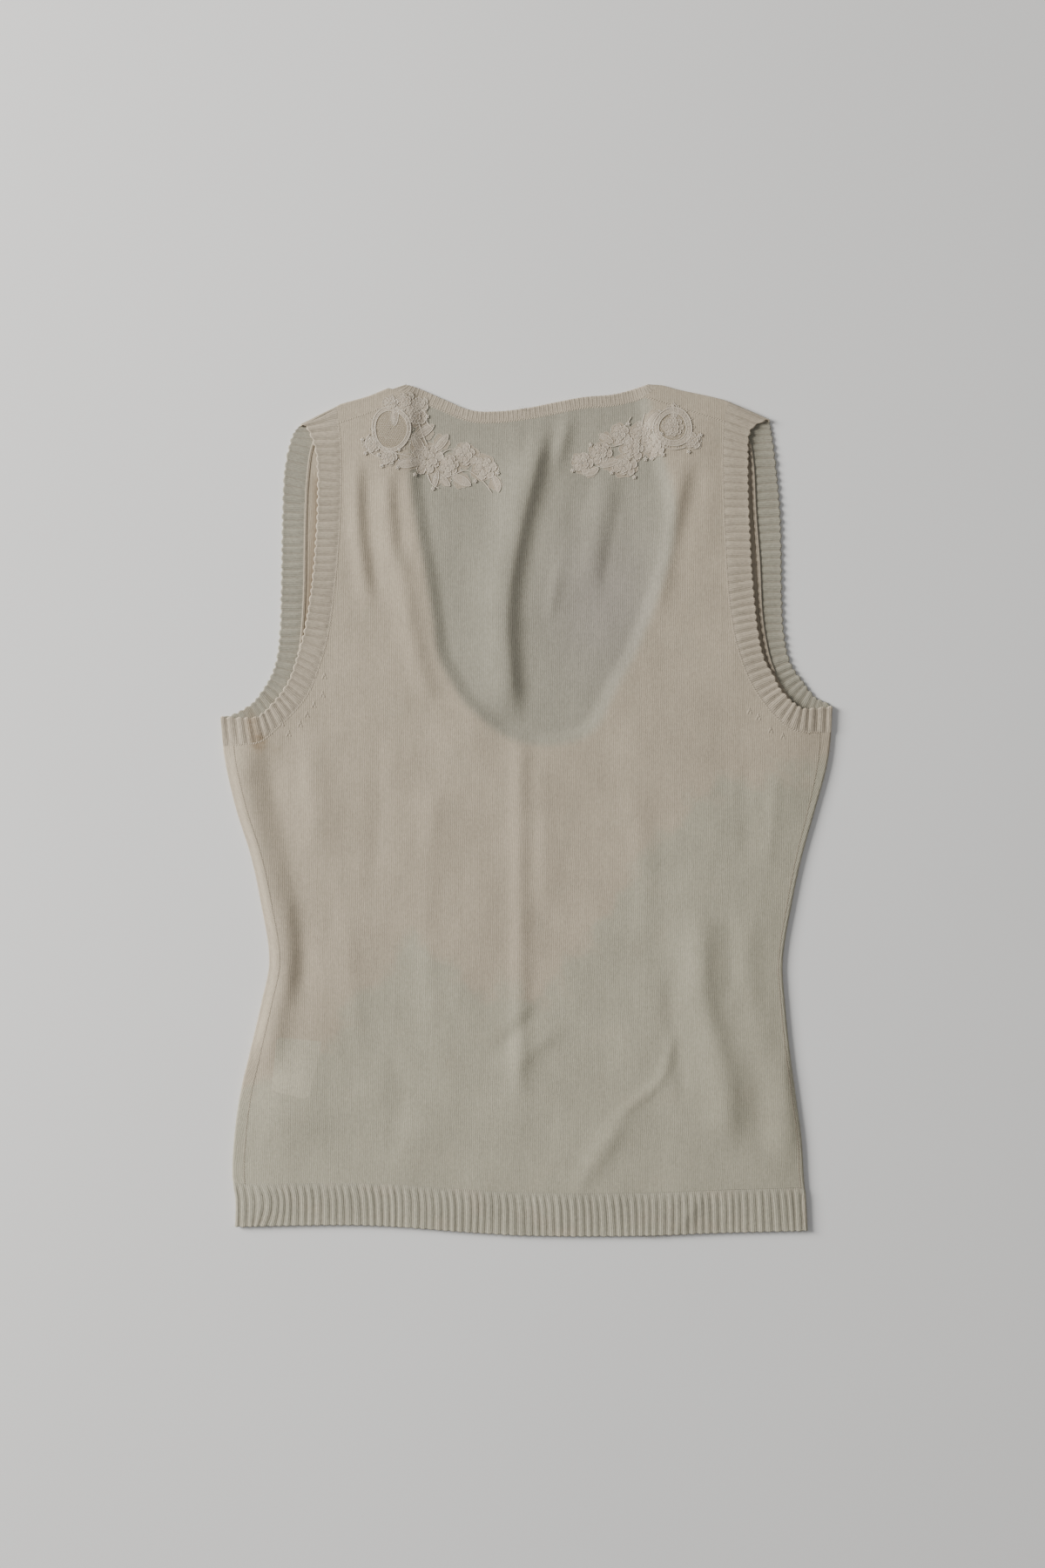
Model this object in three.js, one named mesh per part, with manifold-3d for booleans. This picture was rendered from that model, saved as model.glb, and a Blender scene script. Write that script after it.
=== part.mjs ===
// Sleeveless knitted top with a deep scoop neck, lying flat with its back up.
// The front layer rests on the ground and the back layer lies on it. Sizes are in millimetres,
// x runs to the right, y from the hem to the neck, and z up from the ground.
import * as THREE from 'three';
import Module from 'manifold-3d';

// Knitted walls and how they are stacked
const KNIT = 1.3; // thickness of a wall
const LAYER_GAP = 0.35; // air between the front and the back layer
const SEAM_GAP = 0.3; // between two pieces at a seam
const BACK_FLOOR = KNIT + LAYER_GAP; // underside of the back layer
const TOP = BACK_FLOOR + KNIT; // upper face of the back layer
const FOLD_OUTER = TOP / 2; // outer radius of the half round fold at an edge
const FOLD_INNER = LAYER_GAP / 2;
const FOLD_DEGREES = [90, 45, 0, -45, -90]; // from the back layer round to the front layer

// Ribbing
const HEM_PITCH = 5;
const BAND_PITCH = 5.5;
const NECK_PITCH = 3;
const RIB_RAISE = 0.6;
const NECK_RIB_RAISE = 0.35;
const COVERED_RIB_RAISE = 0.15; // where another layer lies close above

// How the back layer lies
const LOFT = 0.8; // soft lift away from the edges
const LOFT_REACH = 25; // distance from an edge to the full lift
const SCOOP_SAG = 1.25; // how far it sinks inside the front's scoop
const SAG_START = 3; // distance from the scoop's edge where sinking starts
const SAG_REACH = 15;
const FOLD_FADE = 32; // length over which a fold rises at each end

// Grid counts
const BODY_ROWS = 14; // from hem to underarm
const STEPS = 2; // steps between two rows of a seam table
const STRAP_COLUMNS = 5; // across a shoulder
const HEM_FRONT_COLUMNS = 12;

// Lace and label
const LACE_GAP = 0.4;
const LACE_THICK = 1;
const LACE_DOME = 0.45; // rise of a motif's middle above its rim
const LABEL_THICK = 1;
const LABEL_CORNERS = [[-169.7, -186.5], [-144.7, -192.9], [-136, -154], [-165.6, -151.1]];
const LABEL_GAP = 0.3; // between the label and the front panel under it

// Colours as 0 to 1 red, green, blue
const IVORY = [0.83, 0.79, 0.7];
const RIB_IVORY = [0.84, 0.8, 0.71];
const LACE_CREAM = [0.82, 0.76, 0.65];
const LABEL_WHITE = [0.9, 0.89, 0.85];

const WEST = [-1, 0];
const EAST = [1, 0];
const LEFT_SHOULDER_OUT = [-0.36, 0.93]; // plan direction out of the left shoulder's fold
const RIGHT_SHOULDER_OUT = [0.33, 0.94];

// Side folds, and how far inside them the side seams lie on the back
const SIDES = [
  { y: -290, left: -194.5, right: 187.5, leftSeam: 8, rightSeam: 3 },
  { y: -260, left: -193.6, right: 186.3, leftSeam: 8, rightSeam: 3 },
  { y: -245, left: -196, right: 185, leftSeam: 8, rightSeam: 3 },
  { y: -220, left: -195, right: 183.5, leftSeam: 8, rightSeam: 3 },
  { y: -190, left: -191, right: 179.5, leftSeam: 7.7, rightSeam: 3 },
  { y: -160, left: -184, right: 175.5, leftSeam: 7.7, rightSeam: 3 },
  { y: -130, left: -177, right: 172.5, leftSeam: 7.7, rightSeam: 3 },
  { y: -100, left: -171.5, right: 171, leftSeam: 7.7, rightSeam: 3 },
  { y: -60, left: -177.5, right: 177.5, leftSeam: 7.7, rightSeam: 3.4 },
  { y: -30, left: -184, right: 184, leftSeam: 7.7, rightSeam: 4 },
  { y: 0, left: -193.5, right: 192.5, leftSeam: 7.7, rightSeam: 5 },
  { y: 30, left: -200.5, right: 200.5, leftSeam: 7.7, rightSeam: 6.7 },
  { y: 52, left: -203.4, right: 203.3, leftSeam: 7.7, rightSeam: 7.5 },
  { y: 70, left: -204, right: 204, leftSeam: 7.7, rightSeam: 7.5 },
];

// Hem rib: its free edge and its seam to the panels
const HEM = [
  { x: -200, edge: -278, seam: -249 },
  { x: -107, edge: -277, seam: -248.5 },
  { x: -40, edge: -281.5, seam: -252.5 },
  { x: 0, edge: -283.8, seam: -254.8 },
  { x: 75, edge: -284, seam: -255 },
  { x: 130, edge: -282, seam: -253 },
  { x: 190, edge: -280.5, seam: -251.5 },
];

// Top outline over both shoulders and the back neck
const TOP_EDGE = [
  { x: -152, y: 256.3 },
  { x: -133, y: 267.2 },
  { x: -107, y: 275.2 },
  { x: -81, y: 283.3 },
  { x: -54.8, y: 273.5 },
  { x: -30, y: 265.6 },
  { x: 14.8, y: 270.6 },
  { x: 58.3, y: 277 },
  { x: 82, y: 284 },
  { x: 101.8, y: 279.9 },
  { x: 136.6, y: 271.7 },
  { x: 163, y: 260 },
];

// Armhole bands: a row per section, from the seam across the band to its free edge
const BAND_BACK_LEFT = [
  { at: 'side fold', seam: [-202.3, 42.6], edge: [-204, 62] },
  { at: 'side seam', seam: [-194.6, 42.8], edge: [-197, 61.5] },
  { seam: [-184, 43.8], edge: [-187, 61.4] },
  { seam: [-175, 46.3], edge: [-178.5, 62.4] },
  { at: 'turn', seam: [-163.3, 56.6], edge: [-170.5, 69.3] },
  { seam: [-152.3, 67.6], edge: [-163, 78.5] },
  { seam: [-144.1, 79.2], edge: [-157.5, 88] },
  { seam: [-137.8, 95.4], edge: [-152.5, 102.5] },
  { seam: [-132, 116.3], edge: [-147.8, 119.5] },
  { seam: [-128.5, 140.7], edge: [-144, 142] },
  { seam: [-125.5, 170], edge: [-141, 170] },
  { seam: [-123.5, 205], edge: [-139.2, 205] },
  { seam: [-123.3, 235], edge: [-140, 236] },
  { at: 'shoulder seam', seam: [-125, 257.2], edge: [-146, 253.6] },
  { at: 'shoulder fold', seam: [-126.7, 268.8], edge: [-150.5, 256.7] },
];
const BAND_FRONT_LEFT = [
  { at: 'side fold', seam: [-202.3, 42.6], edge: [-204, 62] },
  { seam: [-194.6, 43.6], edge: [-198.5, 62.6] },
  { seam: [-184, 47.5], edge: [-190.5, 66] },
  { at: 'turn', seam: [-172, 57], edge: [-181.5, 72.5] },
  { seam: [-160, 77], edge: [-172.5, 85.5] },
  { seam: [-153, 97], edge: [-167, 99] },
  { seam: [-149.7, 120], edge: [-164.5, 120] },
  { seam: [-148.2, 149.4], edge: [-163.7, 149.4] },
  { seam: [-147.5, 190], edge: [-163, 190] },
  { seam: [-146, 222.4], edge: [-161.5, 225.9] },
  { seam: [-141.5, 246], edge: [-156.5, 248.5] },
  { at: 'shoulder fold', seam: [-126.7, 268.8], edge: [-150.5, 256.7] },
];
const BAND_BACK_RIGHT = [
  { at: 'side fold', seam: [203.2, 51.3], edge: [204, 69] },
  { at: 'side seam', seam: [195.7, 51.3], edge: [196.5, 68] },
  { seam: [184.2, 51.3], edge: [186, 67.4] },
  { seam: [174.3, 54.8], edge: [180.5, 69.5] },
  { at: 'turn', seam: [165, 62.9], edge: [175, 74] },
  { seam: [156.9, 72.8], edge: [169.2, 80.5] },
  { seam: [149.9, 83.8], edge: [164.5, 90] },
  { seam: [144.7, 95.4], edge: [158.8, 100] },
  { seam: [139, 114], edge: [154.6, 117] },
  { seam: [134.9, 140.7], edge: [151.7, 144.1] },
  { seam: [132.8, 170], edge: [149.8, 170] },
  { seam: [131.4, 203], edge: [148.4, 203] },
  { seam: [130.8, 232], edge: [148, 230] },
  { at: 'shoulder seam', seam: [131.4, 258.4], edge: [149.5, 252] },
  { at: 'shoulder fold', seam: [135, 272], edge: [162, 260] },
];
const BAND_FRONT_RIGHT = [
  { at: 'side fold', seam: [203.2, 51.3], edge: [204, 69] },
  { seam: [195.7, 52.8], edge: [199, 71.8] },
  { seam: [185.5, 60], edge: [192, 75.5] },
  { at: 'turn', seam: [174.3, 76.9], edge: [184.5, 85.5] },
  { seam: [166.2, 90.2], edge: [177.5, 95] },
  { seam: [161, 105.3], edge: [173.5, 107] },
  { seam: [157, 130], edge: [170.8, 130] },
  { seam: [155.3, 165], edge: [170.2, 165] },
  { seam: [152.8, 198.1], edge: [169.3, 199] },
  { seam: [151.1, 230.6], edge: [166.3, 231] },
  { seam: [147, 250], edge: [163.8, 250] },
  { at: 'shoulder fold', seam: [135, 272], edge: [162, 260] },
];

// Neckband, from the left shoulder to the right: round the back neck, and round the front's scoop
const NECK_BACK = [
  { at: 'left fold', seam: [-89.6, 280.4], edge: [-80.9, 283.3] },
  { at: 'left seam', seam: [-75, 274.3], edge: [-72.2, 281] },
  { seam: [-57.6, 267], edge: [-54.8, 273.5] },
  { seam: [-38.8, 259.6], edge: [-37.4, 266.5] },
  { seam: [-20, 258.6], edge: [-20, 265.6] },
  { seam: [0, 260.8], edge: [0, 267.8] },
  { seam: [18, 264.2], edge: [17, 271.2] },
  { seam: [38, 268.1], edge: [37.2, 275] },
  { seam: [59, 270], edge: [58.3, 277] },
  { at: 'right seam', seam: [78, 275], edge: [75.7, 281.6] },
  { at: 'right fold', seam: [89, 283.1], edge: [81, 283.5] },
];
const NECK_FRONT = [
  { at: 'left fold', seam: [-89.6, 280.4], edge: [-80.9, 283.3] },
  { seam: [-86.9, 252], edge: [-78.7, 252] },
  { seam: [-87.2, 221.5], edge: [-79.2, 221.9] },
  { seam: [-82.6, 189.5], edge: [-75, 191.1] },
  { seam: [-77, 158], edge: [-69, 159.5] },
  { seam: [-72.3, 128], edge: [-64.3, 130] },
  { seam: [-68.4, 101.2], edge: [-60.6, 103.5] },
  { seam: [-57.5, 78], edge: [-50, 82] },
  { at: 'left turn', seam: [-45.9, 62.4], edge: [-39.7, 67.6] },
  { seam: [-19.6, 41.2], edge: [-16, 48.4] },
  { seam: [8, 33.4], edge: [7.8, 41.5] },
  { seam: [37.4, 37.2], edge: [33.9, 44.4] },
  { at: 'right turn', seam: [55.5, 50], edge: [49.5, 55.5] },
  { seam: [67, 73], edge: [60, 77] },
  { seam: [82.8, 102.6], edge: [75.7, 106.4] },
  { seam: [98, 140], edge: [90, 143] },
  { seam: [107.5, 176.3], edge: [99.5, 177.2] },
  { seam: [108.5, 208], edge: [100.6, 206.8] },
  { seam: [101, 235.5], edge: [93.1, 233.5] },
  { seam: [94, 262], edge: [86.5, 260.7] },
  { at: 'right fold', seam: [89, 283.1], edge: [81, 283.5] },
];

// Ridges of the back layer: height, and reach to the west and the east of the crest
const FOLDS = [
  {
    name: 'middle fold', height: 3.4, west: 17, east: 8,
    path: [[14, 262], [-2.6, 198], [-12.5, 147.6], [-13, 103.5], [-8, 55]],
  },
  { name: 'neck fold', height: 1.5, west: 5, east: 5, path: [[31, 275], [24, 245], [16, 215]] },
  { name: 'beside the neck fold', height: 1.3, west: 8, east: 8, path: [[58, 235], [49, 190], [40, 140]] },
  { name: 'left strap outer', height: 1.1, west: 5, east: 5, path: [[-111, 240], [-111, 185], [-110, 130]] },
  { name: 'left strap inner', height: 1.2, west: 6, east: 6, path: [[-92, 235], [-91, 190], [-94, 145]] },
  { name: 'right strap', height: 1.2, west: 6, east: 6, path: [[118, 240], [110, 190], [108, 150]] },
  {
    name: 'left side roll', height: 2.4, west: 10, east: 10,
    path: [[-189, 55], [-188, 20], [-176, -30], [-163, -95], [-168, -140], [-176, -180]],
  },
  { name: 'inside the left roll', height: 1.2, west: 9, east: 14, path: [[-146, 60], [-141, 10], [-137, -40]] },
  { name: 'middle crease', height: 1, west: 6, east: 6, path: [[-4, 60], [-4, -60], [-4, -200]] },
  {
    name: 'right ridge', height: 2.6, west: 12, east: 8,
    path: [[117, -50], [117, -122], [125, -151], [134, -186], [135, -245]],
  },
  { name: 'right ridge outer', height: 1.2, west: 7, east: 7, path: [[147, -60], [147, -100], [144, -140]] },
  { name: 'right side roll', height: 1.4, west: 9, east: 7, path: [[170, -150], [172, -195], [174, -245]] },
  { name: 'hem crease', height: 1.1, west: 7, east: 7, path: [[28, -262], [48, -230], [72, -195]] },
  { name: 'over the label', height: 1.2, west: 24, east: 24, path: [[-150, -110], [-152, -172], [-158, -235]] },
];

// Lace motifs, as parts of two generic floral sprays
const SPRAY_LEFT = [
  { shape: 'ring', x: -90, y: 253.5, reach: 14.5, width: 3.2, drop: 1.15 },
  { shape: 'leaf', x: -85, y: 262, reach: 8.5, turn: -80 },
  { shape: 'leaf', x: -77, y: 260.5, reach: 8, turn: 115 },
  { shape: 'leaf', x: -70.5, y: 254, reach: 8.5, turn: 35 },
  { shape: 'flower', x: -103, y: 243, reach: 6, petals: 5 },
  { shape: 'flower', x: -90.5, y: 233, reach: 5.5, petals: 5 },
  { shape: 'leaf', x: -79, y: 231, reach: 8, turn: 10 },
  { shape: 'flower', x: -66, y: 233.5, reach: 10, petals: 8 },
  { shape: 'leaf', x: -58, y: 246.5, reach: 8.5, turn: 62 },
  { shape: 'flower', x: -51, y: 228.5, reach: 7, petals: 5 },
  { shape: 'leaf', x: -43, y: 220.5, reach: 8, turn: -28 },
  { shape: 'flower', x: -39.5, y: 234.5, reach: 8, petals: 5 },
  { shape: 'flower', x: -27.5, y: 227.5, reach: 8.4, petals: 6 },
  { shape: 'leaf', x: -21, y: 217, reach: 6, turn: -70 },
];
const SPRAY_RIGHT = [
  { shape: 'ring', x: 97.5, y: 254.5, reach: 13, width: 4, drop: 1 },
  { shape: 'flower', x: 98, y: 254.5, reach: 9.8, petals: 8 },
  { shape: 'leaf', x: 97.5, y: 263.5, reach: 7, turn: 90 },
  { shape: 'flower', x: 110.5, y: 245.5, reach: 5.5, petals: 5 },
  { shape: 'flower', x: 85, y: 242, reach: 6.8, petals: 5 },
  { shape: 'leaf', x: 84, y: 258, reach: 9, turn: 55 },
  { shape: 'leaf', x: 75, y: 251.5, reach: 8, turn: 150 },
  { shape: 'flower', x: 72, y: 241.5, reach: 8.3, petals: 6 },
  { shape: 'leaf', x: 61.5, y: 247.5, reach: 7, turn: 140 },
  { shape: 'flower', x: 66.5, y: 229, reach: 7.5, petals: 6 },
  { shape: 'leaf', x: 54.5, y: 231, reach: 7, turn: 195 },
  { shape: 'flower', x: 49, y: 236.5, reach: 7, petals: 5 },
  { shape: 'flower', x: 37.5, y: 232.5, reach: 6.5, petals: 5 },
];
const POINTS_PER_PETAL = 4;
const PETAL_NOTCH = 0.26; // depth of the notch between petals as a share of the reach
const LEAF_WIDTH = 0.36; // half width as a share of the reach
const LEAF_POINTS = 10;
const RING_SECTIONS = 22;

const mix = (from, to, share) => from.map((value, k) => value + (to[k] - value) * share);
const less = (a, b) => a.map((value, k) => value - b[k]);
const plus = (a, b, share = 1) => a.map((value, k) => value + b[k] * share);
const count = (length, make) => Array.from({ length }, (_, index) => make(index));

/** Rises smoothly from 0 to 1 while the value goes from 0 to 1. */
function ease(value) {
  const held = Math.min(Math.max(value, 0), 1);
  return held * held * (3 - 2 * held);
}

/** Smooth value of one column of a table at a place given by another column. */
function between(table, key, place, column) {
  const last = table.length - 2;
  const found = table.findIndex((row) => row[key] > place) - 1;
  const i = Math.min(Math.max(found < -1 ? last : found, 0), last);
  const slope = (k) => {
    const low = table[Math.max(k - 1, 0)];
    const high = table[Math.min(k + 1, table.length - 1)];
    return (high[column] - low[column]) / (high[key] - low[key]);
  };
  const span = table[i + 1][key] - table[i][key];
  const t = Math.min(Math.max((place - table[i][key]) / span, 0), 1);
  const rise = t * t * (3 - 2 * t);
  const ends = table[i][column] * (1 - rise) + table[i + 1][column] * rise;
  const bend = slope(i) * t * (1 - t) ** 2 - slope(i + 1) * t * t * (1 - t);
  return ends + bend * span;
}

/** Points of a smooth line through the given points, with some steps in each span. */
function smoothLine(points, steps) {
  const line = new THREE.SplineCurve(points.map(([x, y]) => new THREE.Vector2(x, y)));
  const total = (points.length - 1) * steps;
  return count(total + 1, (k) => line.getPoint(k / total).toArray());
}

/**
 * Stations of a band between two rows of its table. Each has a point on the seam, the band's own
 * point beside it, and a point on the band's free edge.
 */
function stations(table, from, to) {
  const seams = smoothLine(table.map((row) => row.seam), STEPS);
  const edges = smoothLine(table.map((row) => row.edge), STEPS);
  const index = (name) => STEPS * table.findIndex((row) => row.at === name);
  const all = seams.map((seam, k) => {
    const [alongX, alongY] = less(seams[Math.min(k + 1, seams.length - 1)], seams[Math.max(k - 1, 0)]);
    const toEdge = less(edges[k], seam);
    const side = Math.sign(alongX * toEdge[1] - alongY * toEdge[0]);
    const gap = SEAM_GAP / Math.hypot(alongX, alongY);
    return { seam, held: plus(seam, [-alongY, alongX], side * gap), edge: edges[k] };
  });
  return all.slice(index(from), index(to) + 1);
}

/** Signed distance east of a line's nearest point, and the line's length before and after it. */
function offsetFrom(line, x, y) {
  let best = { distance: Infinity };
  let walked = 0;
  for (let k = 0; k + 1 < line.length; k += 1) {
    const step = less(line[k + 1], line[k]);
    const length = Math.hypot(...step);
    const share = ((x - line[k][0]) * step[0] + (y - line[k][1]) * step[1]) / length ** 2;
    const held = Math.min(Math.max(share, 0), 1);
    const near = plus(line[k], step, held);
    const distance = Math.hypot(x - near[0], y - near[1]);
    if (distance < best.distance) {
      best = { distance, east: x > near[0], before: walked + held * length };
    }
    walked += length;
  }
  return { ...best, after: walked - best.before };
}

const foldLines = FOLDS.map((fold) => smoothLine(fold.path, STEPS));
const scoopEdge = smoothLine(NECK_FRONT.map((row) => row.edge), 1);

/** Whether a plan point lies within the scoop's edge, closed along the back neck. */
function insideScoop(x, y) {
  let inside = false;
  scoopEdge.forEach(([x1, y1], k) => {
    const [x2, y2] = scoopEdge[(k + 1) % scoopEdge.length];
    if (y1 > y !== y2 > y && x < x1 + ((x2 - x1) * (y - y1)) / (y2 - y1)) {
      inside = !inside;
    }
  });
  return inside;
}

/** Height of the back layer above its flat place. */
function relief(x, y) {
  const fromSide = Math.min(x - between(SIDES, 'y', y, 'left'), between(SIDES, 'y', y, 'right') - x);
  const fromEnd = Math.min(y - between(HEM, 'x', x, 'edge'), between(TOP_EDGE, 'x', x, 'y') - y);
  const atEdge = ease(fromSide / LOFT_REACH) * ease(fromEnd / LOFT_REACH);
  let sag = 0;
  if (insideScoop(x, y)) {
    sag = ease((offsetFrom(scoopEdge, x, y).distance - SAG_START) / SAG_REACH);
  }
  const folds = FOLDS.reduce((sum, fold, k) => {
    const { distance, east, before, after } = offsetFrom(foldLines[k], x, y);
    const reach = east ? fold.east : fold.west;
    const taper = ease(before / FOLD_FADE) * ease(after / FOLD_FADE);
    return sum + fold.height * taper * Math.exp(-((distance / reach) ** 2));
  }, 0);
  return LOFT * atEdge * (1 - sag) - SCOOP_SAG * sag + folds * ease(fromSide / 6) * ease(fromEnd / 6);
}

/** Outer and inner point of the back layer's wall. */
function backPoint([x, y], raise = 0) {
  const lift = relief(x, y);
  return { outer: [x, y, TOP + lift + raise], inner: [x, y, BACK_FLOOR + lift] };
}

/** Outer and inner point of the front layer's wall, which rests on the ground. */
function frontPoint([x, y], raise = 0) {
  return { outer: [x, y, 0], inner: [x, y, KNIT + raise] };
}

/** Outer and inner point part way round the fold that joins the layers at an edge. */
function foldPoint([x, y], out, degrees) {
  const angle = THREE.MathUtils.degToRad(degrees);
  const at = (radius) => {
    const shift = radius * Math.cos(angle) - FOLD_OUTER;
    return [x + out[0] * shift, y + out[1] * shift, FOLD_OUTER + radius * Math.sin(angle)];
  };
  return { outer: at(FOLD_OUTER), inner: at(FOLD_INNER) };
}

const inset = (point, out) => plus(point, out, -FOLD_OUTER);

/** Closed wall over a grid of points. Cells that lack a corner are left open, with a rim. */
function wall(grid, closed = false) {
  const columns = grid[0].length;
  const bands = closed ? grid.length : grid.length - 1;
  const index = grid.map(() => []);
  const positions = [];
  grid.forEach((row, r) => {
    row.forEach((point, c) => {
      if (point) {
        index[r][c] = positions.length / 3;
        positions.push(...point.outer, ...point.inner);
      }
    });
  });
  const rowAt = (r) => (closed ? (r + grid.length) % grid.length : r);
  const has = (r, c) => {
    if (c < 0 || c >= columns - 1 || (!closed && (r < 0 || r >= bands))) {
      return false;
    }
    const corners = [[r, c], [r, c + 1], [r + 1, c], [r + 1, c + 1]];
    return corners.every(([i, j]) => index[rowAt(i)][j] !== undefined);
  };
  const faces = [];
  const quad = (a, b, c, d) => faces.push([a, b, c], [a, c, d]);
  for (let r = 0; r < bands; r += 1) {
    for (let c = 0; c < columns - 1; c += 1) {
      if (has(r, c)) {
        const [p, q] = [index[rowAt(r)][c], index[rowAt(r)][c + 1]];
        const [s, t] = [index[rowAt(r + 1)][c], index[rowAt(r + 1)][c + 1]];
        quad(p, q, t, s);
        quad(p + 1, s + 1, t + 1, q + 1);
        const rims = [[has(r - 1, c), p, q], [has(r, c + 1), q, t], [has(r + 1, c), t, s], [has(r, c - 1), s, p]];
        rims.filter(([joined]) => !joined).forEach(([, a, b]) => quad(b, a, a + 1, b + 1));
      }
    }
  }
  return solid(positions, faces);
}

/** Geometry of a closed body with its faces turned outward. */
function solid(positions, faces) {
  const point = (k) => new THREE.Vector3().fromArray(positions, 3 * k);
  const volume = faces.reduce((sum, [a, b, c]) => sum + point(a).dot(point(b).cross(point(c))), 0);
  const turned = volume < 0 ? faces.map(([a, b, c]) => [a, c, b]) : faces;
  const geometry = new THREE.BufferGeometry();
  geometry.setAttribute('position', new THREE.Float32BufferAttribute(positions, 3));
  geometry.setIndex(turned.flat());
  return geometry;
}

/** Rows of plan points between a bottom and a top row, with their ends on given sides. */
function fill(bottom, top, left, right) {
  const last = bottom.length - 1;
  return left.map((leftEnd, j) => {
    const ruled = bottom.map((point, i) => mix(point, top[i], j / (left.length - 1)));
    const pullLeft = less(leftEnd, ruled[0]);
    const pullRight = less(right[j], ruled[last]);
    return ruled.map((point, i) => plus(point, mix(pullLeft, pullRight, i / last)));
  });
}

/** Evenly spaced plan points between two points, without the first. */
const across = (from, to, steps) => count(steps, (k) => mix(from, to, (k + 1) / steps));

/** Side fold and side seam of a body row, with rows counted from the hem's seam. */
function sideRow(side, row, corner) {
  const start = between(HEM, 'x', between(SIDES, 'y', -250, side), 'seam') + SEAM_GAP;
  const y = start + ((corner[1] - start) * row) / BODY_ROWS;
  const edge = between(SIDES, 'y', y, side);
  const inward = side === 'left' ? 1 : -1;
  return { edge: [edge, y], seam: [edge + inward * between(SIDES, 'y', y, `${side}Seam`), y] };
}

/** Bottom row under a given top row, spread evenly along the hem's seam. */
function hemRow(top, from, to) {
  const spread = (x) => (x - top[0][0]) / (top[top.length - 1][0] - top[0][0]);
  return top.map(([x]) => {
    const place = from[0] + (to[0] - from[0]) * spread(x);
    const level = from[1] + (to[1] - from[1]) * spread(x);
    const ends = [between(HEM, 'x', from[0], 'seam'), between(HEM, 'x', to[0], 'seam')];
    const straight = ends[0] + (ends[1] - ends[0]) * spread(x);
    return [place, level + between(HEM, 'x', place, 'seam') - straight];
  });
}

const seamsOf = (list) => list.map((station) => station.seam);

// Shoulder seams on the back, shared by the back panel and the front panel's turned over straps
const cornerLeft = stations(BAND_BACK_LEFT, 'side seam', 'side seam')[0].seam;
const cornerRight = stations(BAND_BACK_RIGHT, 'side seam', 'side seam')[0].seam;
const shoulderLeft = stations(BAND_BACK_LEFT, 'shoulder seam', 'shoulder seam')[0].seam;
const shoulderRight = stations(BAND_BACK_RIGHT, 'shoulder seam', 'shoulder seam')[0].seam;
const neckRow = seamsOf(stations(NECK_BACK, 'left seam', 'right seam'));
const neckLeft = neckRow[0];
const neckRight = neckRow[neckRow.length - 1];
const seamLeft = [shoulderLeft, ...across(shoulderLeft, neckLeft, STRAP_COLUMNS)];
const seamRight = [neckRight, ...across(neckRight, shoulderRight, STRAP_COLUMNS)];

/** Back panel between the side seams, the armhole bands, the neckband and the hem rib. */
function backPanel() {
  const underLeft = seamsOf(stations(BAND_BACK_LEFT, 'side seam', 'turn'));
  const underRight = seamsOf(stations(BAND_BACK_RIGHT, 'side seam', 'turn')).reverse();
  const riseLeft = seamsOf(stations(BAND_BACK_LEFT, 'turn', 'shoulder seam'));
  const riseRight = seamsOf(stations(BAND_BACK_RIGHT, 'turn', 'shoulder seam'));
  const top = [...seamLeft, ...neckRow.slice(1), ...seamRight.slice(1)];
  const width = top[top.length - 1][0] - top[0][0];
  const middle = top.map(([x]) => mix(riseLeft[0], riseRight[0], (x - top[0][0]) / width));
  const split = [...underLeft, ...middle.slice(1, -1), ...underRight];
  const rows = count(BODY_ROWS + 1, (k) => k);
  const left = rows.map((row) => sideRow('left', row, cornerLeft).seam);
  const right = rows.map((row) => sideRow('right', row, cornerRight).seam);
  left[BODY_ROWS] = cornerLeft;
  right[BODY_ROWS] = cornerRight;
  const body = fill(hemRow(split, left[0], right[0]), split, left, right);
  const upper = fill(middle, top, riseLeft, riseRight).slice(1);
  const open = count(underLeft.length - 1, () => null);
  const grid = [
    ...body.map((row) => row.map((point) => backPoint(point))),
    ...upper.map((row) => [...open, ...row.map((point) => backPoint(point)), ...open]),
  ];
  return wall(grid);
}

/** Points from a side seam on the back round the side fold to the front layer. */
function sideWrap(seam, middle, edge, out) {
  return [
    backPoint(plus(seam, out, SEAM_GAP)),
    backPoint(middle),
    ...FOLD_DEGREES.map((degrees) => foldPoint(edge, out, degrees)),
  ];
}

/** Rows of one strap, from the front round the shoulder fold to the shoulder seam. */
function strapRows(bottom, bandFront, bandBack, neckFront, neckBack, shoulderSeam, out) {
  const foldFrom = bandFront[bandFront.length - 1].seam;
  const foldTo = neckFront[neckFront.length - 1].seam;
  const edge = [foldFrom, ...across(foldFrom, foldTo, STRAP_COLUMNS)].map((point, k) => {
    const atEnd = k === 0 || k === STRAP_COLUMNS;
    return atEnd ? point : [point[0], between(TOP_EDGE, 'x', point[0], 'y')];
  });
  const foldRow = edge.map((point) => inset(point, out));
  const left = seamsOf(bandFront);
  const right = seamsOf(neckFront);
  left[left.length - 1] = foldRow[0];
  right[right.length - 1] = foldRow[STRAP_COLUMNS];
  const front = fill(bottom, foldRow, left, right).slice(1, -1);
  const seamEdge = shoulderSeam.map((point) => plus(point, out, SEAM_GAP));
  const wrapLeft = [foldRow[0], ...seamsOf(bandBack).reverse().slice(1, -1), seamEdge[0]];
  const wrapRight = [foldRow[STRAP_COLUMNS], ...seamsOf(neckBack).slice(1, -1), seamEdge[STRAP_COLUMNS]];
  const back = fill(foldRow, seamEdge, wrapLeft, wrapRight).slice(1);
  return [
    ...front.map((row) => row.map((point) => frontPoint(point))),
    ...[...FOLD_DEGREES].reverse().map((degrees) => edge.map((point) => foldPoint(point, out, degrees))),
    ...back.map((row) => row.map((point) => backPoint(point))),
  ];
}

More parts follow.
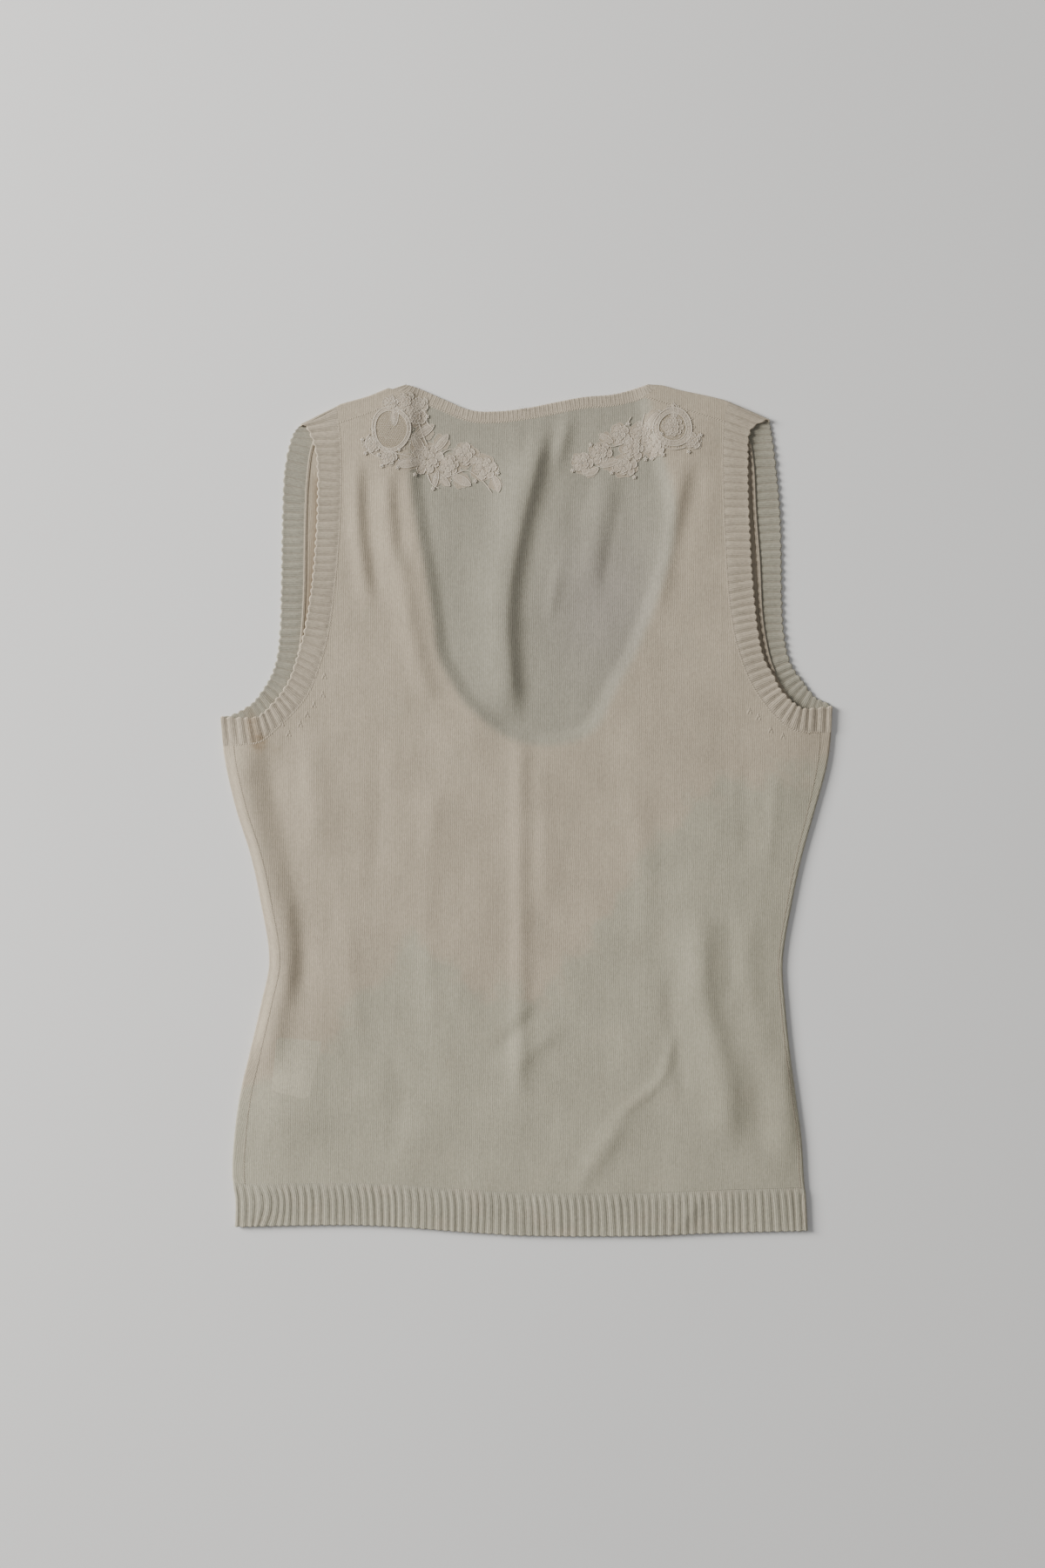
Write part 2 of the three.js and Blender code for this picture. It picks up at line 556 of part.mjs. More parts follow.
/** Front panel, which turns over both sides and both shoulders to the seams on the back. */
function frontPanel() {
  const underLeft = stations(BAND_FRONT_LEFT, 'side fold', 'turn');
  const underRight = stations(BAND_FRONT_RIGHT, 'side fold', 'turn').reverse();
  const scoop = seamsOf(stations(NECK_FRONT, 'left turn', 'right turn'));
  const turnLeft = underLeft[underLeft.length - 1].seam;
  const turnRight = underRight[0].seam;
  const wrapLeft = stations(BAND_BACK_LEFT, 'side fold', 'side seam');
  const wrapRight = stations(BAND_BACK_RIGHT, 'side fold', 'side seam');
  const split = [
    ...seamsOf(underLeft),
    ...across(turnLeft, scoop[0], STRAP_COLUMNS),
    ...scoop.slice(1),
    ...across(scoop[scoop.length - 1], turnRight, STRAP_COLUMNS),
    ...seamsOf(underRight).slice(1),
  ];
  split[0] = inset(split[0], WEST);
  split[split.length - 1] = inset(split[split.length - 1], EAST);
  const sides = count(BODY_ROWS + 1, (row) => ({
    left: sideRow('left', row, cornerLeft),
    right: sideRow('right', row, cornerRight),
  }));
  sides[BODY_ROWS] = {
    left: { edge: wrapLeft[0].seam, seam: cornerLeft, middle: wrapLeft[1].seam },
    right: { edge: wrapRight[0].seam, seam: cornerRight, middle: wrapRight[1].seam },
  };
  const left = sides.map((row) => inset(row.left.edge, WEST));
  const right = sides.map((row) => inset(row.right.edge, EAST));
  const body = fill(hemRow(split, left[0], right[0]), split, left, right);
  const wrapped = ({ edge, seam, middle }, out) => sideWrap(seam, middle ?? mix(edge, seam, 0.6), edge, out);
  const bodyRows = body.map((row, j) => [
    ...wrapped(sides[j].left, WEST),
    ...row.slice(1, -1).map((point) => frontPoint(point)),
    ...wrapped(sides[j].right, EAST).reverse(),
  ]);
  const sideOpen = FOLD_DEGREES.length + underLeft.length;
  const scoopOpen = scoop.length - 2;
  const strapStart = underLeft.length - 1;
  const rightStart = strapStart + STRAP_COLUMNS + scoop.length - 1;
  const leftRows = strapRows(
    split.slice(strapStart, strapStart + STRAP_COLUMNS + 1),
    stations(BAND_FRONT_LEFT, 'turn', 'shoulder fold'),
    stations(BAND_BACK_LEFT, 'shoulder seam', 'shoulder fold'),
    stations(NECK_FRONT, 'left fold', 'left turn').reverse(),
    stations(NECK_BACK, 'left fold', 'left seam'),
    seamLeft,
    LEFT_SHOULDER_OUT,
  );
  const rightRows = strapRows(
    split.slice(rightStart, rightStart + STRAP_COLUMNS + 1).reverse(),
    stations(BAND_FRONT_RIGHT, 'turn', 'shoulder fold'),
    stations(BAND_BACK_RIGHT, 'shoulder seam', 'shoulder fold'),
    stations(NECK_FRONT, 'right turn', 'right fold'),
    stations(NECK_BACK, 'right seam', 'right fold').reverse(),
    [...seamRight].reverse(),
    RIGHT_SHOULDER_OUT,
  ).map((row) => row.reverse());
  const open = (length) => count(length, () => null);
  const strapGrid = leftRows.map((row, k) => [
    ...open(sideOpen),
    ...row,
    ...open(scoopOpen),
    ...rightRows[k],
    ...open(sideOpen),
  ]);
  return wall([...bodyRows, ...strapGrid]);
}

/** Sections at every half rib along a row of stations. */
function ribSections(list, pitch) {
  const middles = list.map(({ held, edge }) => mix(held, edge, 0.5));
  const reached = [0];
  middles.slice(1).forEach((point, k) => {
    reached.push(reached[k] + Math.hypot(...less(point, middles[k])));
  });
  const length = reached[reached.length - 1];
  const sections = 2 * Math.round(length / pitch);
  return count(sections + 1, (n) => {
    const place = (length * n) / sections;
    const k = Math.min(Math.max(reached.findIndex((value) => value > place) - 1, 0), list.length - 2);
    const at = place >= length ? list.length - 2 : k;
    const share = (place - reached[at]) / (reached[at + 1] - reached[at]);
    return {
      held: mix(list[at].held, list[at + 1].held, share),
      edge: mix(list[at].edge, list[at + 1].edge, share),
      along: n / sections,
      crest: n % 2,
    };
  });
}

/** Stations whose first and last move inside the folds at the band's ends. */
function insetEnds(list, outFirst, outLast) {
  const moved = list.map((station) => ({ ...station }));
  [[moved[0], outFirst], [moved[moved.length - 1], outLast]].forEach(([station, out]) => {
    station.held = inset(station.held, out);
    station.edge = inset(station.edge, out);
  });
  return moved;
}

/** Points round the fold of a band, from the back layer to the front layer. */
function bandFold(station, out) {
  return FOLD_DEGREES.slice(1, -1).map((degrees) => [
    foldPoint(station.held, out, degrees),
    foldPoint(station.edge, out, degrees),
  ]);
}

/** Armhole band, a closed ring of rib folded flat at the side and at the shoulder. */
function armholeBand(back, front, sideOut, shoulderOut) {
  const backRow = ({ crest, ...section }) => [
    backPoint(section.held, crest * RIB_RAISE),
    backPoint(section.edge, crest * RIB_RAISE),
  ];
  const frontRow = ({ crest, along, ...section }) => {
    const clear = ease((along - 0.33) / 0.1) * ease((0.93 - along) / 0.06);
    const raise = crest * (COVERED_RIB_RAISE + (RIB_RAISE - COVERED_RIB_RAISE) * clear);
    return [frontPoint(section.held, raise), frontPoint(section.edge, raise)];
  };
  return wall([
    ...ribSections(insetEnds(back, sideOut, shoulderOut), BAND_PITCH).map(backRow),
    ...bandFold(back[back.length - 1], shoulderOut),
    ...ribSections(insetEnds(front, sideOut, shoulderOut), BAND_PITCH).map(frontRow).reverse(),
    ...bandFold(front[0], sideOut).reverse(),
  ], true);
}

/** Neckband, a closed ring folded flat at both neck points. */
function neckband() {
  const back = stations(NECK_BACK, 'left fold', 'right fold');
  const front = stations(NECK_FRONT, 'left fold', 'right fold');
  const backRow = (section) => [
    backPoint(section.held, section.crest * NECK_RIB_RAISE),
    backPoint(section.edge, section.crest * NECK_RIB_RAISE),
  ];
  const frontRow = (section) => [frontPoint(section.held), frontPoint(section.edge)];
  return wall([
    ...ribSections(insetEnds(back, LEFT_SHOULDER_OUT, RIGHT_SHOULDER_OUT), NECK_PITCH).map(backRow),
    ...bandFold(back[back.length - 1], RIGHT_SHOULDER_OUT),
    ...insetEnds(front, LEFT_SHOULDER_OUT, RIGHT_SHOULDER_OUT).map(frontRow).reverse(),
    ...bandFold(front[0], LEFT_SHOULDER_OUT).reverse(),
  ], true);
}

/** Places of the side folds and side seams at the hem rib's top or bottom edge. */
function hemEnds(column) {
  return ['left', 'right'].map((side) => {
    const level = between(HEM, 'x', between(SIDES, 'y', -265, side), column);
    const edge = between(SIDES, 'y', level, side);
    const inward = side === 'left' ? 1 : -1;
    return { edge: [edge, level], seam: [edge + inward * between(SIDES, 'y', level, `${side}Seam`), level] };
  });
}

/** Hem rib of the back, between the side seams. */
function hemBack() {
  const rows = ['seam', 'edge'].map((column) => {
    const [left, right] = hemEnds(column);
    const width = right.seam[0] - left.seam[0];
    const sections = 2 * Math.round(width / HEM_PITCH);
    return count(sections + 1, (n) => {
      const x = left.seam[0] + (width * n) / sections;
      return backPoint([x, between(HEM, 'x', x, column)], (n % 2) * RIB_RAISE);
    });
  });
  return wall(rows);
}

/** Hem rib of the front, which turns over the sides to the side seams. */
function hemFront() {
  const rows = ['seam', 'edge'].map((column) => {
    const [left, right] = hemEnds(column);
    const from = inset(left.edge, WEST)[0];
    const to = inset(right.edge, EAST)[0];
    const middle = count(HEM_FRONT_COLUMNS - 1, (n) => {
      const x = from + ((to - from) * (n + 1)) / HEM_FRONT_COLUMNS;
      return frontPoint([x, between(HEM, 'x', x, column)]);
    });
    return [
      ...sideWrap(left.seam, mix(left.edge, left.seam, 0.6), left.edge, WEST),
      ...middle,
      ...sideWrap(right.seam, mix(right.edge, right.seam, 0.6), right.edge, EAST).reverse(),
    ];
  });
  return wall(rows);
}

/** Blank care label between the layers. */
function careLabel() {
  const floor = KNIT + LABEL_GAP;
  const point = ([x, y]) => ({ outer: [x, y, floor + LABEL_THICK], inner: [x, y, floor] });
  const [a, b, c, d] = LABEL_CORNERS.map(point);
  return wall([[a, b], [d, c]]);
}

const wasm = await Module();
wasm.setup();

/** Solid that can be joined, from a closed geometry. */
function joinable(geometry) {
  return new wasm.Manifold(new wasm.Mesh({
    numProp: 3,
    vertProperties: new Float32Array(geometry.getAttribute('position').array),
    triVerts: new Uint32Array(geometry.getIndex().array),
  }));
}

/** Flat motif with a raised middle, from the reach of its rim in each direction. */
function disc(motif, points, rim) {
  const positions = [motif.x, motif.y, LACE_THICK + LACE_DOME, motif.x, motif.y, 0];
  const faces = [];
  count(points, (k) => {
    const [x, y] = rim(k / points);
    positions.push(motif.x + x, motif.y + y, LACE_THICK, motif.x + x, motif.y + y, 0);
    const a = 2 + 2 * k;
    const b = 2 + 2 * ((k + 1) % points);
    faces.push([0, a, b], [1, b + 1, a + 1], [a, a + 1, b + 1], [a, b + 1, b]);
    return a;
  });
  return solid(positions, faces);
}

const MOTIFS = {
  flower: (motif) => disc(motif, motif.petals * POINTS_PER_PETAL, (share) => {
    const angle = 2 * Math.PI * share;
    const petal = Math.abs(Math.sin((motif.petals * angle) / 2)) ** 0.6;
    const reach = motif.reach * (1 - PETAL_NOTCH + PETAL_NOTCH * petal);
    return [reach * Math.cos(angle), reach * Math.sin(angle)];
  }),
  leaf: (motif) => disc(motif, LEAF_POINTS, (share) => {
    const angle = 2 * Math.PI * share;
    const turn = THREE.MathUtils.degToRad(motif.turn);
    const long = motif.reach * Math.cos(angle);
    const wide = motif.reach * LEAF_WIDTH * Math.sin(angle);
    return [long * Math.cos(turn) - wide * Math.sin(turn), long * Math.sin(turn) + wide * Math.cos(turn)];
  }),
  ring: (motif) => {
    const section = (n) => {
      const angle = (2 * Math.PI * n) / RING_SECTIONS;
      const stretch = Math.sin(angle) < 0 ? motif.drop : 1;
      const at = (reach, z) => [motif.x + reach * Math.cos(angle), motif.y + reach * stretch * Math.sin(angle), z];
      const inner = motif.reach - motif.width;
      return [
        { outer: at(inner, LACE_THICK), inner: at(inner, 0) },
        { outer: at(motif.reach, LACE_THICK), inner: at(motif.reach, 0) },
      ];
    };
    return wall(count(RING_SECTIONS, section), true);
  },
};

/** Height of the highest upper face of some geometries at a plan point. */
function heightOver(geometries, x, y) {
  let highest = -Infinity;
  geometries.forEach((geometry) => {
    const place = geometry.getAttribute('position');
    const index = geometry.getIndex();
    for (let k = 0; k < index.count; k += 3) {
      const [a, b, c] = [0, 1, 2].map((n) => index.getX(k + n));
      const [ax, ay] = [place.getX(a) - x, place.getY(a) - y];
      const [bx, by] = [place.getX(b) - x, place.getY(b) - y];
      const [cx, cy] = [place.getX(c) - x, place.getY(c) - y];
      const shares = [bx * cy - cx * by, cx * ay - ax * cy, ax * by - bx * ay];
      const total = shares[0] + shares[1] + shares[2];
      if (total > 0 && shares.every((share) => share >= 0)) {
        const height = (shares[0] * place.getZ(a) + shares[1] * place.getZ(b) + shares[2] * place.getZ(c)) / total;
        highest = Math.max(highest, height);
      }
    }
  });
  return highest;
}

/** Joined motifs laid on the pieces under them. */
function lace(spray, under) {
  const joined = spray.map((motif) => joinable(MOTIFS[motif.shape](motif))).reduce((all, next) => all.add(next));
  const mesh = joined.getMesh();
  const positions = [];
  for (let k = 0; k < mesh.numVert; k += 1) {
    const [x, y, z] = mesh.vertProperties.slice(k * mesh.numProp, k * mesh.numProp + 3);
    positions.push(x, y, z + LACE_GAP + heightOver(under, x, y));
  }
  const faces = count(mesh.numTri, (k) => Array.from(mesh.triVerts.slice(3 * k, 3 * k + 3)));
  return solid(positions, faces);
}

const group = new THREE.Group();
group.name = 'sleeveless_knitted_top';

/** Adds a named piece with its own colour. */
function addPiece(name, geometry, [red, green, blue], roughness = 0.9) {
  const color = new THREE.Color(red, green, blue);
  const material = new THREE.MeshStandardMaterial({ color, roughness, metalness: 0 });
  const mesh = new THREE.Mesh(geometry, material);
  mesh.name = name;
  group.add(mesh);
}

const back = backPanel();
const front = frontPanel();
addPiece('back_panel', back, IVORY);
addPiece('front_panel', front, IVORY);
addPiece('hem_rib_back', hemBack(), RIB_IVORY);
addPiece('hem_rib_front', hemFront(), RIB_IVORY);
addPiece('armband_left', armholeBand(
  stations(BAND_BACK_LEFT, 'side fold', 'shoulder fold'),
  stations(BAND_FRONT_LEFT, 'side fold', 'shoulder fold'),
  WEST,
  LEFT_SHOULDER_OUT,
), RIB_IVORY);
addPiece('armband_right', armholeBand(
  stations(BAND_BACK_RIGHT, 'side fold', 'shoulder fold'),
  stations(BAND_FRONT_RIGHT, 'side fold', 'shoulder fold'),
  EAST,
  RIGHT_SHOULDER_OUT,
), RIB_IVORY);
addPiece('neckband', neckband(), RIB_IVORY);
addPiece('lace_left', lace(SPRAY_LEFT, [back, front]), LACE_CREAM);
addPiece('lace_right', lace(SPRAY_RIGHT, [back, front]), LACE_CREAM);
addPiece('care_label', careLabel(), LABEL_WHITE, 0.8);

export default group;
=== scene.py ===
import math

import bpy
import numpy as np
from bpy.props import FloatProperty, FloatVectorProperty, IntProperty, PointerProperty
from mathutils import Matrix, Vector
from mathutils.bvhtree import BVHTree


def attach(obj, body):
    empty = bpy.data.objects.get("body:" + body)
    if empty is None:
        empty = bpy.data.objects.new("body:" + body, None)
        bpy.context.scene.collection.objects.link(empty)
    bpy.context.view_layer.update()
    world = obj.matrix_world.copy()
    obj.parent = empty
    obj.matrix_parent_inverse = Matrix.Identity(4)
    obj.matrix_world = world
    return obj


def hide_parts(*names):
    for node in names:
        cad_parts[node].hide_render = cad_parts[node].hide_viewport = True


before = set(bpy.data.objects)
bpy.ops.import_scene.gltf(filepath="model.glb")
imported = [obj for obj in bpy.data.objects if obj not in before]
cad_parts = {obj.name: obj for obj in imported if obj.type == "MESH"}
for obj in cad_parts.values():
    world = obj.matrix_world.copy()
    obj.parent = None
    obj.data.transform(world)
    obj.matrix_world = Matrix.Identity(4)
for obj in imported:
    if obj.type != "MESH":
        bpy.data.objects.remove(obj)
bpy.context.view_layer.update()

bl_info = {
    "name": "Sleeveless Knitted Top",
    "version": (1, 0, 0),
    "blender": (4, 5, 0),
    "location": "3D View > Sidebar > Knitted Top",
    "description": "Fine knitted top with a deep scoop neck and lace sprays, laid flat with its back up",
    "category": "Add Mesh",
}

# Tables are in millimetres: x to the right, y from the hem to the neck, z up from the ground.
MM = 0.001
# Thickness of the cloth, inner and outer height of the flat back layer, and half the gap at a seam
KNIT = 1.3
BACK_FLOOR = 1.65
TOP = 2.95
SEAM_GAP = 0.06
# Radii of the fold that joins the layers, its turns from the back to the front, and the ways it faces
FOLD_OUTER = 1.475
FOLD_INNER = 0.175
FOLD_TURNS = np.linspace(90, -90, 9)
WEST = np.array([-1.0, 0])
EAST = np.array([1.0, 0])
LEFT_SHOULDER_OUT = np.array([-0.36, 0.93])
RIGHT_SHOULDER_OUT = np.array([0.33, 0.94])

# Height from the hem, left and right side fold, and how far inside them the side seams lie
SIDES = np.array([
    [-290, -194.5, 187.5, 8, 3], [-260, -193.6, 186.3, 8, 3], [-245, -196, 185, 8, 3],
    [-220, -195, 183.5, 8, 3], [-190, -191, 179.5, 7.7, 3], [-160, -184, 175.5, 7.7, 3],
    [-130, -177, 172.5, 7.7, 3], [-100, -171.5, 171, 7.7, 3], [-60, -177.5, 177.5, 7.7, 3.4],
    [-30, -184, 184, 7.7, 4], [0, -193.5, 192.5, 7.7, 5], [30, -200.5, 200.5, 7.7, 6.7],
    [52, -203.4, 203.3, 7.7, 7.5], [70, -204, 204, 7.7, 7.5],
])
# Place across, free edge and seam of the hem rib
HEM = np.array([
    [-200, -278, -249], [-107, -277, -248.5], [-40, -281.5, -252.5], [0, -283.8, -254.8],
    [75, -284, -255], [130, -282, -253], [190, -280.5, -251.5],
])
TOP_EDGE = np.array([
    [-152, 256.3], [-133, 267.2], [-107, 275.2], [-81, 283.3], [-54.8, 273.5], [-30, 265.6],
    [14.8, 270.6], [58.3, 277], [82, 284], [101.8, 279.9], [136.6, 271.7], [163, 260],
])


def band(marks, rows):
    """Table of a band: seam x and y, then free edge x and y, with the names of some rows."""
    return {"marks": marks, "rows": np.array(rows, float)}


BACK_MARKS = {"side fold": 0, "side seam": 1, "turn": 4, "shoulder seam": 13, "shoulder fold": 14}
FRONT_MARKS = {"side fold": 0, "turn": 3, "shoulder fold": 11}
BAND_BACK_LEFT = band(BACK_MARKS, [
    [-202.3, 42.6, -204, 62], [-194.6, 42.8, -197, 61.5], [-184, 43.8, -187, 61.4],
    [-175, 46.3, -178.5, 62.4], [-163.3, 56.6, -170.5, 69.3], [-152.3, 67.6, -163, 78.5],
    [-144.1, 79.2, -157.5, 88], [-137.8, 95.4, -152.5, 102.5], [-132, 116.3, -147.8, 119.5],
    [-128.5, 140.7, -144, 142], [-125.5, 170, -141, 170], [-123.5, 205, -139.2, 205],
    [-123.3, 235, -140, 236], [-125, 257.2, -146, 253.6], [-126.7, 268.8, -150.5, 256.7],
])
BAND_FRONT_LEFT = band(FRONT_MARKS, [
    [-202.3, 42.6, -204, 62], [-194.6, 43.6, -198.5, 62.6], [-184, 47.5, -190.5, 66],
    [-172, 57, -181.5, 72.5], [-160, 77, -172.5, 85.5], [-153, 97, -167, 99],
    [-149.7, 120, -164.5, 120], [-148.2, 149.4, -163.7, 149.4], [-147.5, 190, -163, 190],
    [-146, 222.4, -161.5, 225.9], [-141.5, 246, -156.5, 248.5], [-126.7, 268.8, -150.5, 256.7],
])
BAND_BACK_RIGHT = band(BACK_MARKS, [
    [203.2, 51.3, 204, 69], [195.7, 51.3, 196.5, 68], [184.2, 51.3, 186, 67.4],
    [174.3, 54.8, 180.5, 69.5], [165, 62.9, 175, 74], [156.9, 72.8, 169.2, 80.5],
    [149.9, 83.8, 164.5, 90], [144.7, 95.4, 158.8, 100], [139, 114, 154.6, 117],
    [134.9, 140.7, 151.7, 144.1], [132.8, 170, 149.8, 170], [131.4, 203, 148.4, 203],
    [130.8, 232, 148, 230], [131.4, 258.4, 149.5, 252], [135, 272, 162, 260],
])
BAND_FRONT_RIGHT = band(FRONT_MARKS, [
    [203.2, 51.3, 204, 69], [195.7, 52.8, 199, 71.8], [185.5, 60, 192, 75.5],
    [174.3, 76.9, 184.5, 85.5], [166.2, 90.2, 177.5, 95], [161, 105.3, 173.5, 107],
    [157, 130, 170.8, 130], [155.3, 165, 170.2, 165], [152.8, 198.1, 169.3, 199],
    [151.1, 230.6, 166.3, 231], [147, 250, 163.8, 250], [135, 272, 162, 260],
])
NECK_BACK = band({"left fold": 0, "left seam": 1, "right seam": 9, "right fold": 10}, [
    [-89.6, 280.4, -80.9, 283.3], [-75, 274.3, -72.2, 281], [-57.6, 267, -54.8, 273.5],
    [-38.8, 259.6, -37.4, 266.5], [-20, 258.6, -20, 265.6], [0, 260.8, 0, 267.8],
    [18, 264.2, 17, 271.2], [38, 268.1, 37.2, 275], [59, 270, 58.3, 277],
    [78, 275, 75.7, 281.6], [89, 283.1, 81, 283.5],
])
NECK_FRONT = band({"left fold": 0, "left turn": 8, "right turn": 12, "right fold": 20}, [
    [-89.6, 280.4, -80.9, 283.3], [-86.9, 252, -78.7, 252], [-87.2, 221.5, -79.2, 221.9],
    [-82.6, 189.5, -75, 191.1], [-77, 158, -69, 159.5], [-72.3, 128, -64.3, 130],
    [-68.4, 101.2, -60.6, 103.5], [-57.5, 78, -50, 82], [-45.9, 62.4, -39.7, 67.6],
    [-19.6, 41.2, -16, 48.4], [8, 33.4, 7.8, 41.5], [37.4, 37.2, 33.9, 44.4],
    [55.5, 50, 49.5, 55.5], [67, 73, 60, 77], [82.8, 102.6, 75.7, 106.4],
    [98, 140, 90, 143], [107.5, 176.3, 99.5, 177.2], [108.5, 208, 100.6, 206.8],
    [101, 235.5, 93.1, 233.5], [94, 262, 86.5, 260.7], [89, 283.1, 81, 283.5],
])

# Folds of the back layer: height, reach to the west and to the east of the crest, and its path.
# Those over a millimetre high are the solid's own; the low ones and the troughs lie between them.
FOLDS = [
    (3.6, 16, 7, [[14, 262], [-2.6, 198], [-12.5, 147.6], [-13, 103.5], [-8, 55]]),
    (1.5, 5, 5, [[31, 275], [24, 245], [16, 215]]),
    (1.3, 8, 8, [[58, 235], [49, 190], [40, 140]]),
    (1.1, 5, 5, [[-113, 240], [-113, 195], [-109, 160], [-103, 126]]),
    (1.2, 6, 6, [[-93, 235], [-92, 195], [-88, 148]]),
    (1.3, 10, 6, [[108, 240], [97, 195], [90, 155], [84, 118]]),
    (2.4, 10, 10, [[-189, 55], [-188, 20], [-176, -30], [-163, -95], [-168, -140], [-176, -180]]),
    (1.2, 9, 14, [[-146, 60], [-141, 10], [-137, -40]]),
    (1, 6, 6, [[-4, 60], [-4, -60], [-4, -200]]),
    (2.1, 12, 9, [[115, -62], [117, -122], [125, -151], [133, -186], [134, -232]]),
    (0.5, 9, 9, [[147, -66], [147, -100], [144, -140]]),
    (1.2, 9, 8, [[170, -150], [172, -195], [174, -245]]),
    (1.1, 7, 7, [[28, -262], [48, -230], [72, -195]]),
    (1.2, 24, 24, [[-150, -110], [-152, -172], [-158, -235]]),
]
LOW_FOLDS = [
    (-0.5, 5, 6, [[2, 262], [0, 246], [-6, 225]]),
    (-0.7, 5, 5, [[44, 236], [35, 205], [27, 178]]),
    (-0.6, 6, 6, [[68, 208], [61, 175], [52, 140]]),
    (0.5, 4, 4, [[24, 170], [18, 145], [16, 118]]),
    (-0.6, 4, 4, [[-106, 232], [-106, 200], [-103, 170], [-96, 134]]),
    (-0.5, 4, 4, [[-86, 230], [-85, 195], [-79, 158]]),
    (0.95, 7, 6, [[-86, 182], [-82, 150], [-77, 120], [-70, 92], [-60, 68]]),
    (-0.6, 6, 7, [[118, 236], [110, 203], [100, 164]]),
    (-0.75, 6, 9, [[-172, 48], [-168, 15], [-158, -30], [-148, -95], [-152, -128]]),
    (0.5, 6, 6, [[-159, -50], [-157, -95], [-161, -138]]),
    (-0.2, 7, 9, [[-150, -52], [-149, -95], [-153, -132]]),
    (0.5, 6, 8, [[8, 40], [12, -10], [10, -70]]),
    (-0.7, 5, 6, [[-26, -166], [-6, -147], [16, -128]]),
    (0.5, 5, 5, [[-14, -176], [8, -157], [30, -140]]),
    (0.7, 3.5, 3.5, [[56, -210], [72, -195], [89, -180], [97, -155], [96, -140]]),
    (-0.5, 5, 5, [[96, -105], [98, -150], [108, -200]]),
    (-0.35, 5, 5, [[136, -64], [136, -92], [138, -128]]),
    (-0.4, 6, 6, [[150, -152], [154, -190], [153, -232]]),
    (0.35, 4, 4, [[96, -286], [108, -270], [122, -250]]),
    (0.4, 7, 7, [[-60, 20], [-66, -60], [-62, -150]]),
    (-0.4, 6, 6, [[-100, 60], [-98, 0], [-104, -70]]),
    (0.5, 8, 8, [[70, 20], [78, -40], [80, -95]]),
    (-0.4, 6, 6, [[150, 40], [146, 0], [150, -40]]),
    (0.5, 5, 5, [[168, 30], [164, -5], [160, -40]]),
    (-0.4, 8, 8, [[-90, -150], [-84, -190], [-92, -240]]),
    (0.35, 6, 6, [[-120, -60], [-116, -120], [-110, -170]]),
    (0.45, 4, 4, [[-60, 250], [-52, 235], [-40, 222]]),
]
# How far the back layer stands off the front, and sinks over the scoop, with the reach of both
LOFT = 1.25
LOFT_REACH = 25
SCOOP_SAG = 1.25
SAG_REACH = 11
# Heights from which a fold is a high one and the main one, and how much crisper than its row each is
HIGH_FOLD, MAIN_FOLD = 1, 3
CRISPNESS, MAIN_CRISPNESS = 1.25, 1.2
# Length over which a high or low fold runs out at its ends, and the reach of the flat edges
FOLD_FADE, LOW_FOLD_FADE = 32, 20
EDGE_FADE = 6
# The most that the back layer may sink, and how much more over the scoop
LOWEST, LOWER_IN_SCOOP = -0.2, 1.3
# Depth given to points that are outside the scoop and the label, and how cool the hem's tone is
OUTSIDE = -5.0
HEM_COOLNESS = 0.85
# Levels at which the body meets the hem's seam and the hem rib is measured
HEM_SEAM_LEVEL, HEM_LEVEL = -250, -265

# The cooler tone of the lower part begins under this line
COOL_BELOW = [
    [-205, -190], [-150, -175], [-110, -125], [-75, -80], [-35, -120], [10, -125], [50, -75], [90, -15],
    [130, 20], [205, 25],
]
# Care label between the layers: its outline and its lower face
LABEL_CORNERS = np.array([[-169.7, -186.5], [-144.7, -192.9], [-136, -154], [-165.6, -151.1]])
LABEL_FLOOR = KNIT + 0.3

# Shaping marks beside the armholes
MARKS_LEFT = [
    [-163.3, 57.7], [-158.6, 50.8], [-151, 57.1], [-146.5, 63.5], [-141.8, 69.9], [-136, 76.9], [-134.8, 89],
]
MARKS_RIGHT = [[148.2, 65.8], [154, 61.8], [162.1, 53.1], [170.2, 49]]

# Half width and level of the floor; then where the camera stands, in metres, and the width of its sensor
GROUND_REACH, GROUND_LEVEL = 3000, -0.3
CAMERA_SPOT = (-0.0026, 0.0171)
SENSOR = 36

# Lace motifs of two generic floral sprays: kind, place, reach, then petals or direction
SPRAY_LEFT = [
    ("leaf", -87, 262, 7, -95), ("flower", -74, 262, 6.5, 6), ("flower", -80, 271.5, 6, 6),
    ("flower", -70.5, 270, 5, 5), ("flower", -90, 270.5, 5, 5), ("leaf", -68, 252, 8, 35),
    ("flower", -103, 243, 5.5, 5), ("flower", -91.5, 234, 5.5, 5), ("leaf", -79, 231, 8, 10),
    ("leaf", -72, 243, 8, 120), ("flower", -66, 233.5, 9.6, 8), ("leaf", -57, 244.5, 7.5, 50),
    ("flower", -51.5, 229, 7, 6), ("leaf", -43.5, 219.5, 7.5, -28), ("flower", -40.5, 236, 7.5, 6),
    ("flower", -28, 227.5, 8, 6), ("leaf", -20.5, 217, 6, -70), ("leaf", -60, 220.5, 5.5, -100),
    ("leaf", -54, 219.5, 5, -50),
]
SPRAY_RIGHT = [
    ("flower", 98, 254.5, 6.5, 8), ("leaf", 97.5, 265, 6, 90), ("flower", 110.5, 245.5, 5.5, 5),
    ("flower", 85, 242, 7, 6), ("leaf", 84, 259, 8.5, 55), ("flower", 77, 252, 6.5, 6),
    ("flower", 71, 240.5, 7.5, 6), ("flower", 62.5, 250, 6.5, 5), ("flower", 65.5, 229, 7.2, 6),
    ("leaf", 55, 230.5, 7, 195), ("flower", 49.5, 237.5, 7, 6), ("leaf", 53, 247.5, 5.5, 150),
    ("flower", 37.5, 231, 6.5, 5), ("leaf", 43, 225.5, 5.5, 20),
]


def length_setting(name, description, default):
    """A small length that can be set."""
    return FloatProperty(name=name, description=description, default=default, unit="LENGTH", precision=5)


